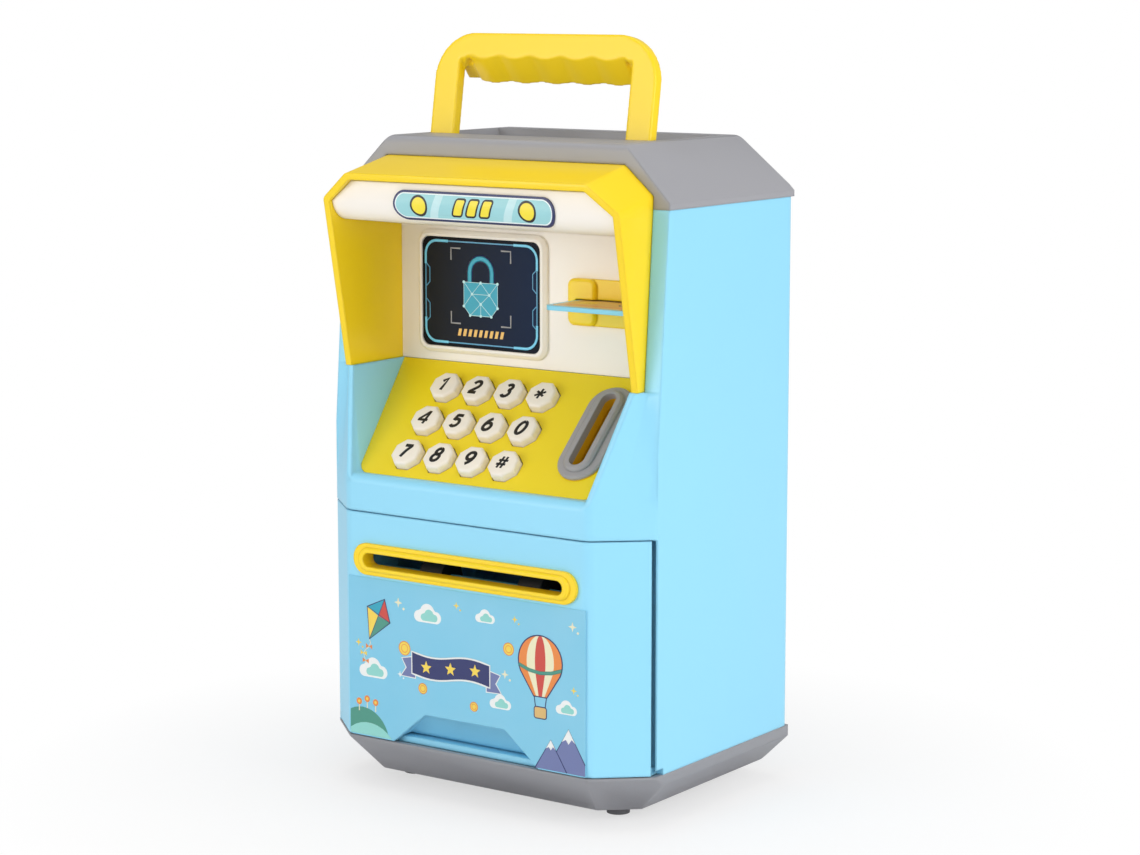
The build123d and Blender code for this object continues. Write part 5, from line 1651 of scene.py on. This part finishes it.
# ------------------------------------------------------------------ card
@dataclass
class CardPrint:
    """Print on top of the toy card: pale ground, stripe, chip and lines; sizes in millimetres.

    Attributes:
        shop: Makes the finishes.
        margin: Distance from the card's edge to the ground.
        border: Distance from both edges together to the border line.
        chip: Distance from the ground's front edge to the chip's middle.
        rings: Middle of the two rings, from the middle of that edge.
        rows: Distance from that edge to the first line, and from one line to the next.
    """

    shop: PaintShop
    margin: float = 1.6
    border: float = 5.0
    chip: float = 11.5
    rings: Point = (7.5, 12.0)
    rows: Pair = (18.0, 2.6)

    def build(self) -> None:
        """Print the card's upper face."""
        low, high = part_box("card")
        wide, long = (high[0] - low[0]) / MM, (high[1] - low[1]) / MM
        middle = Matrix.Translation(((low[0] + high[0]) / 2, (low[1] + high[1]) / 2, high[2]))
        press = Press("card", "card", "card_plastic", self.shop, middle)
        press.shape(INK_TAN, rounded(wide - 2 * self.margin, long - 2 * self.margin, 2.2))
        front = -long / 2 + self.margin
        chip = front + self.chip
        press.line(INK_CREAM, rounded(wide - self.border, long - self.border, 1.6), 0.4, 2, True)
        press.line(INK_ORANGE, [(-12.0, front + 4.4), (12.0, front + 4.4)], 1.1, 2)
        press.shape(INK_YELLOW, rounded(7.0, 5.4, 1.0, (-8.0, chip)), 2)
        for offset in (-1.2, 1.2):
            press.line(INK_NAVY, [(-11.5, chip + offset), (-4.5, chip + offset)], 0.25, 3)
        rings = (self.rings[0], front + self.rings[1])
        press.ring(INK_NAVY, rings, 3.4, 0.5, 2)
        press.ring(INK_CREAM, rings, 2.2, 0.7, 3)
        for row in range(4):
            z = front + self.rows[0] + self.rows[1] * row
            press.line(INK_NAVY, [(-11.0, z), (5.0 + 2.0 * (row % 2), z)], 0.5, 2)
        press.finish()


# ------------------------------------------------------------------ studio
@dataclass
class Studio:
    """Pale floor, soft lamps and the camera; places in metres and turns in degrees.

    Attributes:
        floor_size: Side of the floor.
        floor_colour: Its colour, near the object.
        fade: Strength of its white glow near the object and far off.
        fade_reach: Distances from the origin between which that strength changes.
        lamps: Name, place, side and power of each soft box: a large key at the front right, a fill at
            the left, one at the side and one overhead.
        aim: Point that the lamps face.
        world_strength: Strength of the light from all round.
        camera_place: Where the camera stands.
        camera_turn: How far it is turned to the left.
        camera_dip: How far it looks down.
        camera_focus: Its focal length against the width of its picture.
    """

    floor_size: float = 8.0
    floor_colour: Colour = (0.93, 0.93, 0.935)
    fade: Pair = (0.62, 1.0)
    fade_reach: Pair = (0.05, 0.19)
    lamps: Tuple[Tuple[str, Place, float, float], ...] = (
        ("key_box", (0.85, -1.0, 0.75), 0.9, 3.3),
        ("fill_box", (-0.6, -1.25, 0.32), 0.8, 6.9),
        ("side_box", (1.3, 0.1, 0.5), 0.9, 8.6),
        ("top_box", (0.0, -0.1, 1.35), 1.1, 5.8))
    aim: Place = (0.0, 0.0, 0.12)
    world_strength: float = 0.36
    camera_place: Place = (0.5458, -0.7577, 0.2656)
    camera_turn: float = 35.32
    camera_dip: float = 8.85
    camera_focus: float = 2839.0 / 1140.0

    def build(self) -> None:
        """Make floor, lamps, world and camera."""
        self.lay_floor()
        for lamp in self.lamps:
            self.hang_lamp(*lamp)
        self.light_world()
        self.set_camera()
        bpy.context.scene.view_settings.view_transform = "Standard"

    def lay_floor(self) -> None:
        """Lay a white floor that keeps the shadow near the object and fades to plain white."""
        bpy.ops.mesh.primitive_plane_add(size=self.floor_size, location=(0, 0, 0))
        floor = bpy.context.object
        floor.name = "floor"
        desk = NodeDesk("floor_white", self.floor_colour)
        desk.shader.inputs["Base Color"].default_value = (*self.floor_colour, 1)
        desk.shader.inputs["Roughness"].default_value = 0.9
        glow = desk.add("Emission")
        glow.inputs["Color"].default_value = (*WHITE, 1)
        far = desk.add("VectorMath", operation="LENGTH")
        desk.link(desk.place(), far.inputs[0])
        fade = desk.spread(far.outputs["Value"], *self.fade, *self.fade_reach)
        blend = desk.add("MixShader")
        desk.link(desk.times(desk.add("LightPath").outputs["Is Camera Ray"], fade), blend.inputs["Fac"])
        desk.link(desk.shader.outputs["BSDF"], blend.inputs[1])
        desk.link(glow.outputs["Emission"], blend.inputs[2])
        desk.link(blend.outputs["Shader"], desk.tree.nodes["Material Output"].inputs["Surface"])
        floor.data.materials.append(desk.material)

    def hang_lamp(self, name: str, place: Place, size: float, watts: float) -> None:
        """Hang one square lamp that faces the object.

        Args:
            name: Name of the lamp.
            place: Where it hangs, in metres.
            size: Length of its side.
            watts: Its power.
        """
        data = bpy.data.lights.new(name, "AREA")
        data.size = size
        data.energy = watts
        lamp = new_object(name, data)
        lamp.location = place
        lamp.rotation_euler = (Vector(self.aim) - Vector(place)).to_track_quat("-Z", "Y").to_euler()

    def light_world(self) -> None:
        """Light softly from all round, and look white to the camera, also through clear parts."""
        world = bpy.data.worlds.new("studio")
        bpy.context.scene.world = world
        world.use_nodes = True
        nodes, links = world.node_tree.nodes, world.node_tree.links
        dim, bright = nodes["Background"], nodes.new("ShaderNodeBackground")
        for light, strength in ((dim, self.world_strength), (bright, 1.0)):
            light.inputs["Color"].default_value = (*WHITE, 1)
            light.inputs["Strength"].default_value = strength
        path = nodes.new("ShaderNodeLightPath")
        seen = nodes.new("ShaderNodeMath")
        seen.operation = "MAXIMUM"
        blend = nodes.new("ShaderNodeMixShader")
        for source, target in ((path.outputs["Is Camera Ray"], seen.inputs[0]),
                               (path.outputs["Is Transmission Ray"], seen.inputs[1]),
                               (seen.outputs["Value"], blend.inputs["Fac"]),
                               (dim.outputs["Background"], blend.inputs[1]),
                               (bright.outputs["Background"], blend.inputs[2]),
                               (blend.outputs["Shader"], nodes["World Output"].inputs["Surface"])):
            links.new(source, target)

    def set_camera(self) -> None:
        """Stand the camera at the front right, a little above the top."""
        data = bpy.data.cameras.new("camera")
        data.sensor_width = 36.0
        data.lens = self.camera_focus * data.sensor_width
        camera = new_object("camera", data)
        camera.location = self.camera_place
        camera.rotation_euler = (math.radians(90 - self.camera_dip), 0, math.radians(self.camera_turn))
        bpy.context.scene.camera = camera


def main() -> None:
    """Build the scene: studio first, then every finish and piece."""
    bpy.ops.object.select_all(action="DESELECT")
    Studio().build()
    shop = PaintShop()
    shop.dress_frame()
    for part in (Mouldings(shop), CarryHandle(shop), Sign(shop), Keypad(shop), Display(shop), DoorLabel(shop),
                 CardPrint(shop)):
        part.build()
        log.info("%s built", type(part).__name__)


if __name__ == "__main__":
    main()
